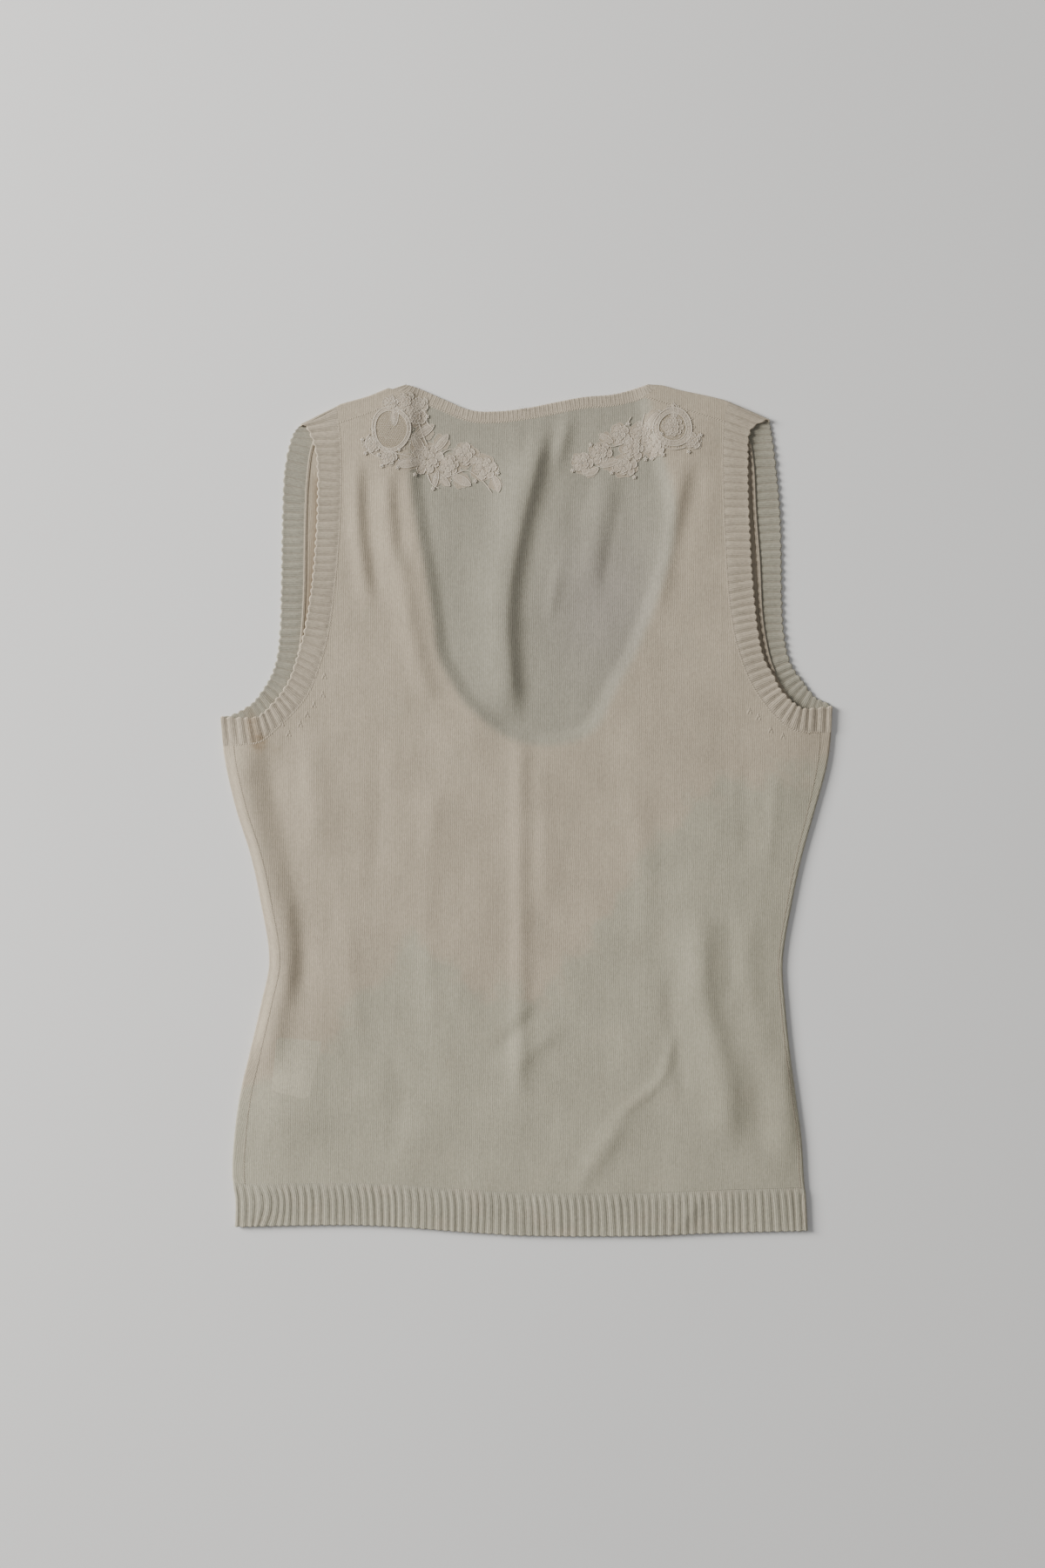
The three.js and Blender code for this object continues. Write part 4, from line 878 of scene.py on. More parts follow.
# Seams shared by the back panel and the parts of the front that turn over onto the back
CORNER_LEFT = seam_of(BAND_BACK_LEFT, "side seam", "side seam", 1)[0]
CORNER_RIGHT = seam_of(BAND_BACK_RIGHT, "side seam", "side seam", 1)[0]
SHOULDER_LEFT = seam_of(BAND_BACK_LEFT, "shoulder seam", "shoulder seam", 1)[0]
SHOULDER_RIGHT = seam_of(BAND_BACK_RIGHT, "shoulder seam", "shoulder seam", 1)[0]
NECK_POINT_LEFT, NECK_POINT_RIGHT = NECK_BACK["rows"][1, :2], NECK_BACK["rows"][9, :2]


def side_rows(column, inward, corner, rows):
    """Side fold and side seam points of the body rows, from the hem's seam to the underarm corner."""
    start = between(HEM, 2, between(SIDES, column, HEM_SEAM_LEVEL)) + SEAM_GAP
    y = start + (corner[1] - start) * np.arange(rows + 1) / rows
    edge = between(SIDES, column, y)
    seam = edge + inward * between(SIDES, column + 2, y)
    return np.stack([edge, y], 1), np.stack([seam, y], 1)


def hem_row(top, start, end):
    """Bottom row under a given top row, spread evenly along the hem's seam."""
    spread = (top[:, 0] - top[0, 0]) / (top[-1, 0] - top[0, 0])
    place = start[0] + (end[0] - start[0]) * spread
    level = start[1] + (end[1] - start[1]) * spread
    low, high = between(HEM, 2, start[0]), between(HEM, 2, end[0])
    return np.stack([place, level + between(HEM, 2, place) - (low + (high - low) * spread)], 1)


def back_panel_mesh():
    """Back panel: its body up to the underarms, and the part between the armholes."""
    rows, under_steps, rise_steps, neck_steps, left_steps, right_steps = 110, 5, 9, 9, 22, 24
    under_left = seam_of(BAND_BACK_LEFT, "side seam", "turn", under_steps)
    under_right = seam_of(BAND_BACK_RIGHT, "side seam", "turn", under_steps)[::-1]
    rise_left = seam_of(BAND_BACK_LEFT, "turn", "shoulder seam", rise_steps)
    rise_right = seam_of(BAND_BACK_RIGHT, "turn", "shoulder seam", rise_steps)
    top = np.vstack([
        across(SHOULDER_LEFT, NECK_POINT_LEFT, left_steps),
        seam_of(NECK_BACK, "left seam", "right seam", neck_steps)[1:],
        across(NECK_POINT_RIGHT, SHOULDER_RIGHT, right_steps)[1:],
    ])
    spread = ((top[:, 0] - top[0, 0]) / (top[-1, 0] - top[0, 0]))[:, None]
    middle = rise_left[0] * (1 - spread) + rise_right[0] * spread
    split = np.vstack([under_left, middle[1:-1], under_right])
    left = side_rows(1, 1, CORNER_LEFT, rows)[1]
    right = side_rows(2, -1, CORNER_RIGHT, rows)[1]
    left[-1], right[-1] = CORNER_LEFT, CORNER_RIGHT
    body = fill(hem_row(split, left[0], right[0]), split, left, right)
    upper = fill(middle, top, rise_left, rise_right)[1:]
    open_columns = len(under_left) - 1
    plan = np.concatenate([body, np.pad(upper, ((0, 0), (open_columns, open_columns), (0, 0)))])
    present = np.ones(plan.shape[:2], bool)
    present[len(body):, :open_columns] = False
    present[len(body):, -open_columns:] = False
    measures = {
        "thin": scoop_depth, "patch": label_depth, "stain": stain_at, "low": coolness, "violet": violet_at,
    }
    fields = {key: both(measure(plan[present])) for key, measure in measures.items()}
    return (*shell(*back_wall(plan), plan[..., 0], plan[..., 1], present), fields)


def side_wrap(seam, middle, edge, out):
    """Strips from a side seam on the back round the side fold, one point of each row after another."""
    start, turn = seam + out * SEAM_GAP, inset(edge, out)
    lines = [start * (1 - s) + middle * s for s in (0, 0.35, 0.7)]
    lines += [middle * (1 - s) + turn * s for s in (0, 0.5)]
    walls = [back_wall(line[:, None]) for line in lines]
    for degrees in FOLD_TURNS:
        outer, inner = turned(edge, out, degrees)
        walls.append((outer[:, None], inner[:, None]))
    return gathered(walls)


def strap_rows(bottom, band_front, band_back, neck_front, neck_back, shoulder_seam, out):
    """Rows of one strap, from the front round the shoulder fold to the shoulder seam."""
    columns = len(bottom) - 1
    edge = across(band_front[-1], neck_front[-1], columns)
    edge[1:-1, 1] = between(TOP_EDGE, 1, edge[1:-1, 0])
    fold_row = inset(edge, out)
    left, right = band_front.copy(), neck_front.copy()
    left[-1], right[-1] = fold_row[0], fold_row[-1]
    front = front_wall(fill(bottom, fold_row, left, right)[1:-1])
    seam_edge = shoulder_seam + out * SEAM_GAP
    wrap_left, wrap_right = band_back[::-1].copy(), neck_back.copy()
    wrap_left[0], wrap_left[-1] = fold_row[0], seam_edge[0]
    wrap_right[0], wrap_right[-1] = fold_row[-1], seam_edge[-1]
    back = back_wall(fill(fold_row, seam_edge, wrap_left, wrap_right)[1:])
    fold = [np.stack([turned(edge, out, d)[k] for d in FOLD_TURNS[::-1]]) for k in (0, 1)]
    return [np.concatenate([front[k], fold[k], back[k]]) for k in (0, 1)]


def unrolled(outer, body_rows, wraps, front_rows):
    """Flat places of the front panel, whose sides are unrolled outwards and whose straps upwards."""
    u, v = outer[..., 0].copy(), outer[..., 1].copy()
    body, last = slice(0, body_rows), outer.shape[1] - 1
    for k in range(wraps - 1, -1, -1):
        for here, beside, way in ((k, k + 1, -1), (last - k, last - k - 1, 1)):
            step = np.linalg.norm(outer[body, here] - outer[body, beside], axis=-1)
            u[body, here] = u[body, beside] + way * step
    for k in range(body_rows + front_rows - 1, len(outer)):
        v[k] = v[k - 1] + np.linalg.norm(outer[k] - outer[k - 1], axis=-1)
    return u, v


def slit_shadow_at(points):
    """Painted shadow on the front layer where it shows in the narrow gap inside each armhole, under the back
    band's free edge.
    """
    reach = 6.5
    beside = 0
    for shade, table in ((1, BAND_BACK_LEFT), (0.1, BAND_BACK_RIGHT)):
        edge = stations(table, "turn", "shoulder seam", 2)["edge"]
        beside = beside + shade * ease(1 - offset_from(edge, points[:, :2])[0] / reach)
    y, z = points[:, 1], points[:, 2]
    return beside * ease((y - 92) / 25) * ease((230 - y) / 14) * (z < KNIT + 0.1)


def front_sides(rows):
    """Points of both side wraps at the seam, between, and at the fold."""
    sides = []
    for column, inward, corner, table in (
        (1, 1, CORNER_LEFT, BAND_BACK_LEFT), (2, -1, CORNER_RIGHT, BAND_BACK_RIGHT),
    ):
        wrap = seam_of(table, "side fold", "side seam", 2)
        edge, seam = side_rows(column, inward, corner, rows)
        middle = edge * 0.4 + seam * 0.6
        edge[-1], seam[-1], middle[-1] = wrap[0], corner, wrap[1]
        sides.append((seam, middle, edge))
    return sides


def both_straps(left_bottom, right_bottom, columns, steps):
    """Rows of both straps over their parts of the row at the underarms."""
    left = strap_rows(
        left_bottom, seam_of(BAND_FRONT_LEFT, "turn", "shoulder fold", steps),
        seam_of(BAND_BACK_LEFT, "shoulder seam", "shoulder fold", steps),
        seam_of(NECK_FRONT, "left fold", "left turn", steps)[::-1],
        seam_of(NECK_BACK, "left fold", "left seam", steps),
        across(SHOULDER_LEFT, NECK_POINT_LEFT, columns), LEFT_SHOULDER_OUT)
    right = strap_rows(
        right_bottom[::-1], seam_of(BAND_FRONT_RIGHT, "turn", "shoulder fold", steps),
        seam_of(BAND_BACK_RIGHT, "shoulder seam", "shoulder fold", steps),
        seam_of(NECK_FRONT, "right turn", "right fold", steps),
        seam_of(NECK_BACK, "right seam", "right fold", steps)[::-1],
        across(NECK_POINT_RIGHT, SHOULDER_RIGHT, columns)[::-1], RIGHT_SHOULDER_OUT)
    return left, [wall[:, ::-1] for wall in right]


def front_panel_mesh():
    """Front panel: its body with a wrap at each side, and the two straps beside the scoop."""
    rows, steps, columns = 70, 6, 16
    under_left = seam_of(BAND_FRONT_LEFT, "side fold", "turn", steps)
    under_right = seam_of(BAND_FRONT_RIGHT, "side fold", "turn", steps)[::-1]
    scoop = seam_of(NECK_FRONT, "left turn", "right turn", steps)
    split = np.vstack([
        under_left, across(under_left[-1], scoop[0], columns)[1:], scoop[1:],
        across(scoop[-1], under_right[0], columns)[1:], under_right[1:],
    ])
    split[0], split[-1] = inset(split[0], WEST), inset(split[-1], EAST)
    side_left, side_right = front_sides(rows)
    left, right = inset(side_left[2], WEST), inset(side_right[2], EAST)
    body = fill(hem_row(split, left[0], right[0]), split, left, right)
    wrap_left, wrap_right = side_wrap(*side_left, WEST), side_wrap(*side_right, EAST)
    lower = gathered([wrap_left, front_wall(body[:, 1:-1]), [wall[:, ::-1] for wall in wrap_right]])
    wraps = wrap_left[0].shape[1]
    first = len(under_left) - 1
    second = first + columns + len(scoop) - 1
    straps = both_straps(split[first:first + columns + 1], split[second:second + columns + 1], columns, steps)
    count = len(straps[0][0])
    at_side, at_scoop = wraps - 1 + first, len(scoop) - 2
    side_gap, scoop_gap = ([np.zeros((count, width, 3))] * 2 for width in (at_side, at_scoop))
    upper = gathered([side_gap, straps[0], scoop_gap, straps[1], side_gap])
    present = np.ones((len(body) + count, lower[0].shape[1]), bool)
    present[len(body):] = np.repeat([0, 1, 0, 1, 0], [at_side, columns + 1, at_scoop, columns + 1, at_side])
    outer, inner = (np.concatenate([lower[k], upper[k]]) for k in (0, 1))
    front_rows = (FRONT_MARKS["shoulder fold"] - FRONT_MARKS["turn"]) * steps
    u, v = unrolled(outer, len(body), wraps, front_rows)
    points = outer[present]
    outside = np.full(2 * len(points), OUTSIDE)
    fields = {
        "thin": outside, "patch": outside, "stain": both(stain_at(points)), "slit": both(slit_shadow_at(points)),
        "low": both(coolness(points)),
    }
    return (*shell(outer, inner, u, v, present), fields)


# Half widths of a rib's ridge and slope, in ribs; how much ribs differ in height; how far they take to rise
RIB_TOP, RIB_SLOPE = 0.1, 0.37
RIB_VARIETY = 0.16
RIB_RISE = 3.2
# Roll along a free edge: its height in ribs, its place and its width; then the scallops' reach and mean
ROLL, ROLL_PLACE, ROLL_WIDTH = 0.3, 1, 0.8
SCALLOP_REACH, SCALLOP_MEAN = 3.5, 0.6


def rib_wave(place):
    """Height of a rib at a place counted in ribs, from 0 in the groove to 1 on the ridge."""
    return 1 - ease((np.abs(place % 1 - 0.5) - RIB_TOP) / RIB_SLOPE)


def rib_heights(count, seed):
    """Ribs that differ a little in height."""
    return 1 + RIB_VARIETY * (np.random.default_rng(seed).random(count) - 0.5) * 2


def ribbed(outer, inner, place, from_edge, from_seam, outer_raise, inner_raise, to_edge, scallop):
    """Grid of a ribbed band: rounds its free edge, raises its ribs and lets them stand out of the edge."""
    tall = rib_heights(int(place.max()) + 2, sizes().seed)[np.floor(place).astype(int)]
    wave = rib_wave(place) * tall
    middle, half = (outer + inner) / 2, (outer - inner) / 2
    face = unit(half)
    thick = KNIT / 2
    rounded = np.sqrt(np.clip(1 - (1 - np.minimum(from_edge, thick) / thick) ** 2, 0.02, 1))
    fade = ease(from_seam / RIB_RISE) * rounded
    roll = ROLL * bell(from_edge - ROLL_PLACE, ROLL_WIDTH) * rounded
    outer = middle + half * rounded[..., None] + face * ((wave * fade + roll) * outer_raise)[..., None]
    inner = middle - half * rounded[..., None] - face * ((wave * fade + roll) * inner_raise)[..., None]
    out = to_edge * (scallop * (wave - SCALLOP_MEAN) * np.exp(-from_edge / SCALLOP_REACH))[..., None]
    return outer + out, inner + out


def band_ring(back, front, side_out, shoulder_out):
    """Held and free edges of a band, once round: back layer, shoulder fold, front layer, side fold."""

    def ends(points):
        moved = points.copy()
        moved[0], moved[-1] = inset(moved[0], side_out), inset(moved[-1], shoulder_out)
        return moved

    strips = {}
    for key in ("held", "edge"):
        parts = [back_wall(ends(back[key]))]
        fold = [turned(back[key][-1:], shoulder_out, d) for d in FOLD_TURNS[1:-1]]
        parts.append([np.concatenate([f[k] for f in fold]) for k in (0, 1)])
        parts.append([wall[::-1] for wall in front_wall(ends(front[key]))])
        fold = [turned(front[key][:1], side_out, d) for d in FOLD_TURNS[1:-1][::-1]]
        parts.append([np.concatenate([f[k] for f in fold]) for k in (0, 1)])
        strips[key] = [np.concatenate([part[k] for part in parts]) for k in (0, 1)]
    turning = (90 - FOLD_TURNS[1:-1]) / 180
    below = np.concatenate([np.zeros(len(back["held"])), turning, np.ones(len(front["held"])), turning[::-1]])
    return strips, below


def band_mesh(back, front, side_out, shoulder_out, pitch, samples, width_steps, raise_mm, scallop, covered):
    """Closed ring of rib, folded flat at both ends."""
    strips, below = band_ring(back, front, side_out, shoulder_out)
    middle = sum(strips[key][k] for key in ("held", "edge") for k in (0, 1)) / 4
    loop = np.vstack([middle, middle[:1]])
    reached = np.concatenate([[0], np.cumsum(np.linalg.norm(np.diff(loop, axis=0), axis=1))])
    ribs = round(reached[-1] / pitch)
    at = reached[-1] * np.arange(ribs * samples) / (ribs * samples)

    def resampled(values):
        closed = np.concatenate([values, values[:1]])
        if closed.ndim == 1:
            return np.interp(at, reached, closed)
        return np.stack([np.interp(at, reached, closed[:, k]) for k in range(closed.shape[1])], 1)

    held, edge = ([resampled(wall) for wall in strips[key]] for key in ("held", "edge"))
    under = resampled(below)
    reach = np.linalg.norm(edge[0] - held[0], axis=1)
    share = 1 - np.minimum(np.array(width_steps)[None] / reach[:, None], 1)
    share[:, -1] = 0
    outer, inner = (
        held[k][:, None] * (1 - share[..., None]) + edge[k][:, None] * share[..., None] for k in (0, 1)
    )
    from_edge, from_seam = (1 - share) * reach[:, None], share * reach[:, None]
    to_edge = unit((edge[0] - held[0]) * [1, 1, 0])[:, None]
    count = np.arange(ribs * samples) / samples
    sway = 0.12 * np.sin(count * 1.7) * np.sin(count * 0.43 + 1)
    lean = 0.07 * np.sin(count * 0.9)[:, None] * (from_edge / reach[:, None])
    place = np.maximum(count + sway, 0)[:, None] + lean
    clear = covered(outer[:, 0])
    outer, inner = ribbed(
        outer, inner, place, from_edge, from_seam, (raise_mm * (1 - under))[:, None],
        (raise_mm * under * clear)[:, None], to_edge, scallop)
    u = np.vstack([place, place[:1] + ribs]) * pitch
    v = np.vstack([from_edge, from_edge[:1]])
    points = outer.reshape(-1, 3)
    thin = OUTSIDE * (1 - 2 * under)
    fields = {
        "thin": both(np.repeat(thin[:, None], outer.shape[1], 1)),
        "patch": both(np.full(outer.shape[:2], OUTSIDE)), "stain": both(stain_at(points)),
        "low": both(coolness(points)), "ribbed": both(ease(from_seam / 2.5)),
    }
    return (*shell(outer, inner, u, v, closed=True), fields), ribs * pitch


BAND_STEPS = [0, 0.1, 0.3, 0.65, 1.1, 1.9, 3.2, 5, 7.2, 9.4, 11.5, 13.2, 14.6, 99]
NECK_STEPS = [0, 0.1, 0.3, 0.65, 1.2, 2.2, 3.4, 4.8, 6.1, 99]


def hem_sway(x, share):
    """Sideways lean of the hem's ribs, with a double bend at the left end."""
    left = ease(1 - (x + 196) / 48)
    bend = left * (4.4 * np.sin(math.pi * share) - 3.2 * share**2)
    lean = 0.7 * np.sin(x / 23) + 0.5 * np.sin(x / 9.1 + 1)
    return bend + lean * share * ease((x + 190) / 20) * ease((184 - x) / 12)


def hem_ends(share):
    """Side folds and side seams at places between the hem's seam and its free edge."""
    ends = []
    for column, inward in ((1, 1), (2, -1)):
        at = between(SIDES, column, HEM_LEVEL)
        y = between(HEM, 2, at) * (1 - share) + between(HEM, 1, at) * share
        edge = between(SIDES, column, y)
        ends.append((np.stack([edge, y], 1), np.stack([edge + inward * between(SIDES, column + 2, y), y], 1)))
    return ends


HEM_STEPS = np.array([0, 0.1, 0.3, 0.65, 1.1, 2, 3.5, 5.5, 8, 10.5, 13, 15.5, 18, 20.5, 23, 25, 27, 28.2, 29])
HEM_SHARE = 1 - HEM_STEPS / HEM_STEPS[-1]


def hem_plan(x, share):
    """Plan points of the hem rib at places across and shares from its seam to its free edge."""
    y = between(HEM, 2, x) * (1 - share) + between(HEM, 1, x) * share
    return np.stack([x, y], -1)


def hem_shell(outer, inner, place, raised, pitch):
    """Closed wall of a hem rib over a grid, with its ribs raised on the outer face."""
    from_edge = np.broadcast_to(HEM_STEPS[None], place.shape)
    from_seam = HEM_STEPS[-1] - from_edge
    down = np.broadcast_to(np.array([0, -1.0, 0]), outer.shape)
    outer, inner = ribbed(
        outer, inner, place, from_edge, from_seam * 0.8, raised, np.zeros_like(from_edge), down, 0.5)
    outside = both(np.full(place.shape, OUTSIDE))
    fields = {
        "thin": outside, "patch": outside, "stain": both(stain_at(outer.reshape(-1, 3))),
        "ribbed": both(ease(from_seam / 4)), "low": both(np.full(place.shape, HEM_COOLNESS)),
    }
    return *shell(outer, inner, place * pitch, from_edge), fields


def hem_back_mesh():
    pitch, samples = sizes().hem_pitch / MM, 10
    (_, left), (_, right) = hem_ends(HEM_SHARE)
    width = (right[:, 0] - left[:, 0]).mean()
    ribs = round(width / pitch)
    count = np.arange(ribs * samples + 1) / samples
    spread = (count / ribs)[:, None]
    x = left[None, :, 0] * (1 - spread) + right[None, :, 0] * spread
    share = np.broadcast_to(HEM_SHARE[None], x.shape)
    ends_fade = ease(spread / 0.04) * ease((1 - spread) / 0.02)
    plan = hem_plan(x + hem_sway(x, share) * ends_fade, share)
    outer, inner = back_wall(plan)
    sway = 0.1 * np.sin(count * 1.3) * np.sin(count * 0.37) * ease(count / 2) * ease((ribs - count) / 2)
    place = np.broadcast_to((count + sway)[:, None], x.shape)
    return hem_shell(outer, inner, place, np.full_like(x, sizes().hem_raise / MM), pitch)


def hem_front_mesh():
    pitch = sizes().hem_pitch / MM
    west_steps, east_steps, fold_steps, under_steps = 15, 6, 13, 305
    (left_edge, left_seam), (right_edge, right_seam) = hem_ends(HEM_SHARE)

    def wrap(edge, seam, out, steps):
        turn = inset(edge, out)
        shares = np.linspace(0, 1, steps, endpoint=False)[:, None, None]
        flat = (seam + out * SEAM_GAP)[None] * (1 - shares) + turn[None] * shares
        outer, inner = back_wall(flat)
        fold = [turned(edge, out, d) for d in np.linspace(90, -90, fold_steps)]
        outer = np.concatenate([outer, np.stack([f[0] for f in fold])])
        return outer, np.concatenate([inner, np.stack([f[1] for f in fold])])

    west, east = wrap(left_edge, left_seam, WEST, west_steps), wrap(right_edge, right_seam, EAST, east_steps)
    start, end = inset(left_edge, WEST), inset(right_edge, EAST)
    spread = np.linspace(0, 1, under_steps + 1)[1:-1, None]
    x = start[None, :, 0] * (1 - spread) + end[None, :, 0] * spread
    under = front_wall(hem_plan(x, np.broadcast_to(HEM_SHARE[None], x.shape)))
    outer, inner = (np.concatenate([west[k], under[k], east[k][::-1]]) for k in (0, 1))
    step = np.linalg.norm(np.diff(outer, axis=0), axis=-1)
    place = np.concatenate([np.zeros((1, outer.shape[1])), np.cumsum(step, axis=0)]) / pitch
    raised_west, raised_east = west_steps + 10, east_steps + 10
    flat_rows = len(outer) - raised_west - raised_east
    top = np.concatenate([np.ones(raised_west), np.zeros(flat_rows), np.ones(raised_east)])
    soft = np.convolve(np.pad(top, 3, mode="edge"), np.ones(7) / 7, "valid")
    raised = np.broadcast_to((soft * sizes().hem_raise / MM)[:, None], place.shape)
    return hem_shell(outer, inner, place, raised, pitch)


def armhole_covered(points):
    """How much room the front's armhole ribs have above them: none where the back band lies on them."""
    y = points[:, 1]
    return 0.2 + 0.8 * ease((y - 66) / 22) * ease((246 - y) / 10)


class KNIT_OT_back_panel(bpy.types.Operator):
    """Make the back panel, which lies uppermost with its folds"""
    bl_idname = "knit.back_panel"
    bl_label = "Back panel"

    def execute(self, context):
        cloth_piece("back_panel_knit", back_panel_mesh(), plain_finish(), "knit", "back_panel")
        return {"FINISHED"}


class KNIT_OT_front_panel(bpy.types.Operator):
    """Make the front panel, which rests on the ground and turns over the sides and shoulders"""
    bl_idname = "knit.front_panel"
    bl_label = "Front panel"

    def execute(self, context):
        cloth_piece("front_panel_knit", front_panel_mesh(), plain_finish(), "knit", "front_panel")
        return {"FINISHED"}


class KNIT_OT_hem_rib(bpy.types.Operator):
    """Make the hem rib of the back and of the front"""
    bl_idname = "knit.hem_rib"
    bl_label = "Hem rib"

    def execute(self, context):
        for side, make in (("back", hem_back_mesh), ("front", hem_front_mesh)):
            cloth_piece(f"hem_rib_{side}_knit", make(), rib_finish("hem"), "rib", f"hem_rib_{side}")
        return {"FINISHED"}


class KNIT_OT_armhole_bands(bpy.types.Operator):
    """Make the ribbed band of each armhole"""
    bl_idname = "knit.armhole_bands"
    bl_label = "Armhole bands"

    def execute(self, context):
        for side, back, front, out, shoulder in (
            ("left", BAND_BACK_LEFT, BAND_FRONT_LEFT, WEST, LEFT_SHOULDER_OUT),
            ("right", BAND_BACK_RIGHT, BAND_FRONT_RIGHT, EAST, RIGHT_SHOULDER_OUT),
        ):
            back, front = (stations(table, "side fold", "shoulder fold", 10) for table in (back, front))
            wall, length = band_mesh(
                back, front, out, shoulder, sizes().band_pitch / MM, 10, BAND_STEPS, sizes().rib_raise / MM,
                sizes().scallop / MM, armhole_covered)
            piece = cloth_piece(f"armband_{side}_knit", wall, rib_finish("armhole"), "rib", f"armband_{side}")
            piece["cut_length"] = length * MM
        return {"FINISHED"}


class KNIT_OT_neckband(bpy.types.Operator):
    """Make the fine ribbed band round the neck"""
    bl_idname = "knit.neckband"
    bl_label = "Neckband"

    def execute(self, context):
        back = stations(NECK_BACK, "left fold", "right fold", 8)
        front = stations(NECK_FRONT, "left fold", "right fold", 6)
        wall, _ = band_mesh(
            back, front, LEFT_SHOULDER_OUT, RIGHT_SHOULDER_OUT, sizes().neck_pitch / MM, 7, NECK_STEPS,
            sizes().neck_raise / MM, 0.15, lambda points: np.full(len(points), 0.2))
        cloth_piece("neckband_knit", wall, rib_finish("neck"), "rib", "neckband")
        return {"FINISHED"}


# Order of the lace's materials, how flat its parts are pressed, and how far they stand off the cloth
CLOTH, CORD, BEAD = 0, 1, 2
LACE_FLATNESS = 0.62
LACE_LIFT = 0.06


def around(x, y, radius, turn):
    """Plan points round a centre."""
    return np.stack([x + radius * np.cos(turn), y + radius * np.sin(turn)], -1)


class Lacework:
    """Collects the small parts of a lace spray as places in plan and heights above the cloth."""

    def __init__(self):
        self.verts, self.faces, self.kinds, self.hollow, self.anchors = [], [], [], [], []

    # hollow is the share of painted shade that each corner takes in the lace cloth's colour
    def add(self, verts, faces, kind, hollow=None, anchor=None):
        """Adds a part. The anchors are the places on the cloth whose height its corners follow."""
        start = sum(len(v) for v in self.verts)
        verts = np.asarray(verts, float)
        self.verts.append(verts)
        self.faces += [[start + int(k) for k in face] for face in faces]
        self.kinds += [kind] * len(faces)
        self.hollow.append(np.zeros(len(verts)) if hollow is None else np.asarray(hollow, float))
        self.anchors.append(np.broadcast_to(verts[:, :2] if anchor is None else anchor, (len(verts), 2)))

    def cord(self, path, radius, height, closed=False, sides=6):
        """Round cord along a plan path."""
        path = np.asarray(path, float)
        after, before = np.roll(path, -1, axis=0), np.roll(path, 1, axis=0)
        if not closed:
            after[-1], before[0] = path[-1], path[0]
        along = unit(after - before)
        side = np.stack([-along[:, 1], along[:, 0]], 1)
        heights = np.broadcast_to(height, len(path))
        turn = turns(sides)
        thin = np.ones(len(path))
        if not closed:
            thin[0] = thin[-1] = 0.45
        offset = side[:, None] * (np.cos(turn)[None, :, None] * (radius * thin)[:, None, None])
        level = heights[:, None] + np.sin(turn)[None] * (radius * thin)[:, None]
        verts = np.concatenate([path[:, None] + offset, level[..., None]], -1).reshape(-1, 3)
        faces = []
        n = len(path)
        for i in range(n if closed else n - 1):
            j = (i + 1) % n
            for k in range(sides):
                m = (k + 1) % sides
                faces.append([i * sides + k, i * sides + m, j * sides + m, j * sides + k])
        if not closed:
            faces.append(list(range(sides))[::-1])
            faces.append([(n - 1) * sides + k for k in range(sides)])
        self.add(verts, faces, CORD, anchor=np.repeat(path, sides, axis=0))

    def bead(self, x, y, radius, height, kind=BEAD):
        """Little round bead."""
        rings, sides = 4, 6
        verts = [[x, y, height - radius]]
        for r in range(1, rings):
            lean = np.pi * r / rings
            for k in range(sides):
                turn = 2 * np.pi * (k + 0.5 * r) / sides
                verts.append([
                    x + radius * np.sin(lean) * np.cos(turn), y + radius * np.sin(lean) * np.sin(turn),
                    height - radius * np.cos(lean)])
        verts.append([x, y, height + radius])
        last = len(verts) - 1
        faces = []
        for k in range(sides):
            m = (k + 1) % sides
            faces.append([0, 1 + m, 1 + k])
            for r in range(rings - 2):
                a, b = 1 + r * sides, 1 + (r + 1) * sides
                faces.append([a + k, a + m, b + m, b + k])
            faces.append([last - sides + k, last - sides + m, last])
        self.add(verts, faces, kind, anchor=[x, y])

    def sheet(self, outer, thickness, closed, hollow):
        """Thin domed cloth over a grid of points."""
        inner = outer.copy()
        inner[..., 2] = np.maximum(outer[..., 2] - thickness, 0.02)
        rows, columns = outer.shape[:2]
        place = np.zeros((rows + closed, columns))
        verts, faces, _ = shell(outer, inner, place, place, closed=closed)
        self.add(verts, faces, CLOTH, both(hollow))

    def ruffle(self, x, y, reach, petals, rng, base):
        """One layer of ruffled petals with a cord round its rim; gives its petals' directions and lengths."""
        points = petals * 12
        start = rng.random() * 6
        turn = start + turns(points)
        lobe = np.abs(np.sin(petals * (turn - start) / 2)) ** 0.5
        lengths = 1 + 0.17 * (rng.random(petals) - 0.5) * 2
        size = reach * lengths[np.arange(points) // 12]
        rim = size * (0.66 + 0.34 * lobe + 0.035 * np.sin(5 * petals * turn))
        ring = np.array([0.12, 0.26, 0.4, 0.55, 0.7, 0.84, 0.94, 1.0])
        radius = rim[:, None] * ring[None]
        dome = np.sin(np.pi * ring**0.9)[None]
        height = base + 0.3 + 0.6 * dome * (0.25 + 0.75 * lobe[:, None]) + 0.3 * ring[None] ** 5
        height = height + 0.15 * np.cos(3 * petals * (turn - start))[:, None] * ring[None] ** 2
        height = height - 0.22 * bell(ring - 0.12, 0.12)[None]
        outer = np.concatenate([around(x, y, radius, turn[:, None]), height[..., None]], -1)
        # Painted shade at the flower's middle and between its petals
        hollow = 0.9 * bell(ring, 0.26)[None] + 0.6 * (1 - lobe[:, None]) * ring[None]
        self.sheet(outer, 0.25, True, np.clip(hollow, 0, 1))
        self.cord(around(x, y, rim * 0.985, turn), 0.26, height[:, -1] + 0.05, closed=True, sides=5)
        return start + 2 * np.pi * (np.arange(petals) + 0.5) / petals, lengths

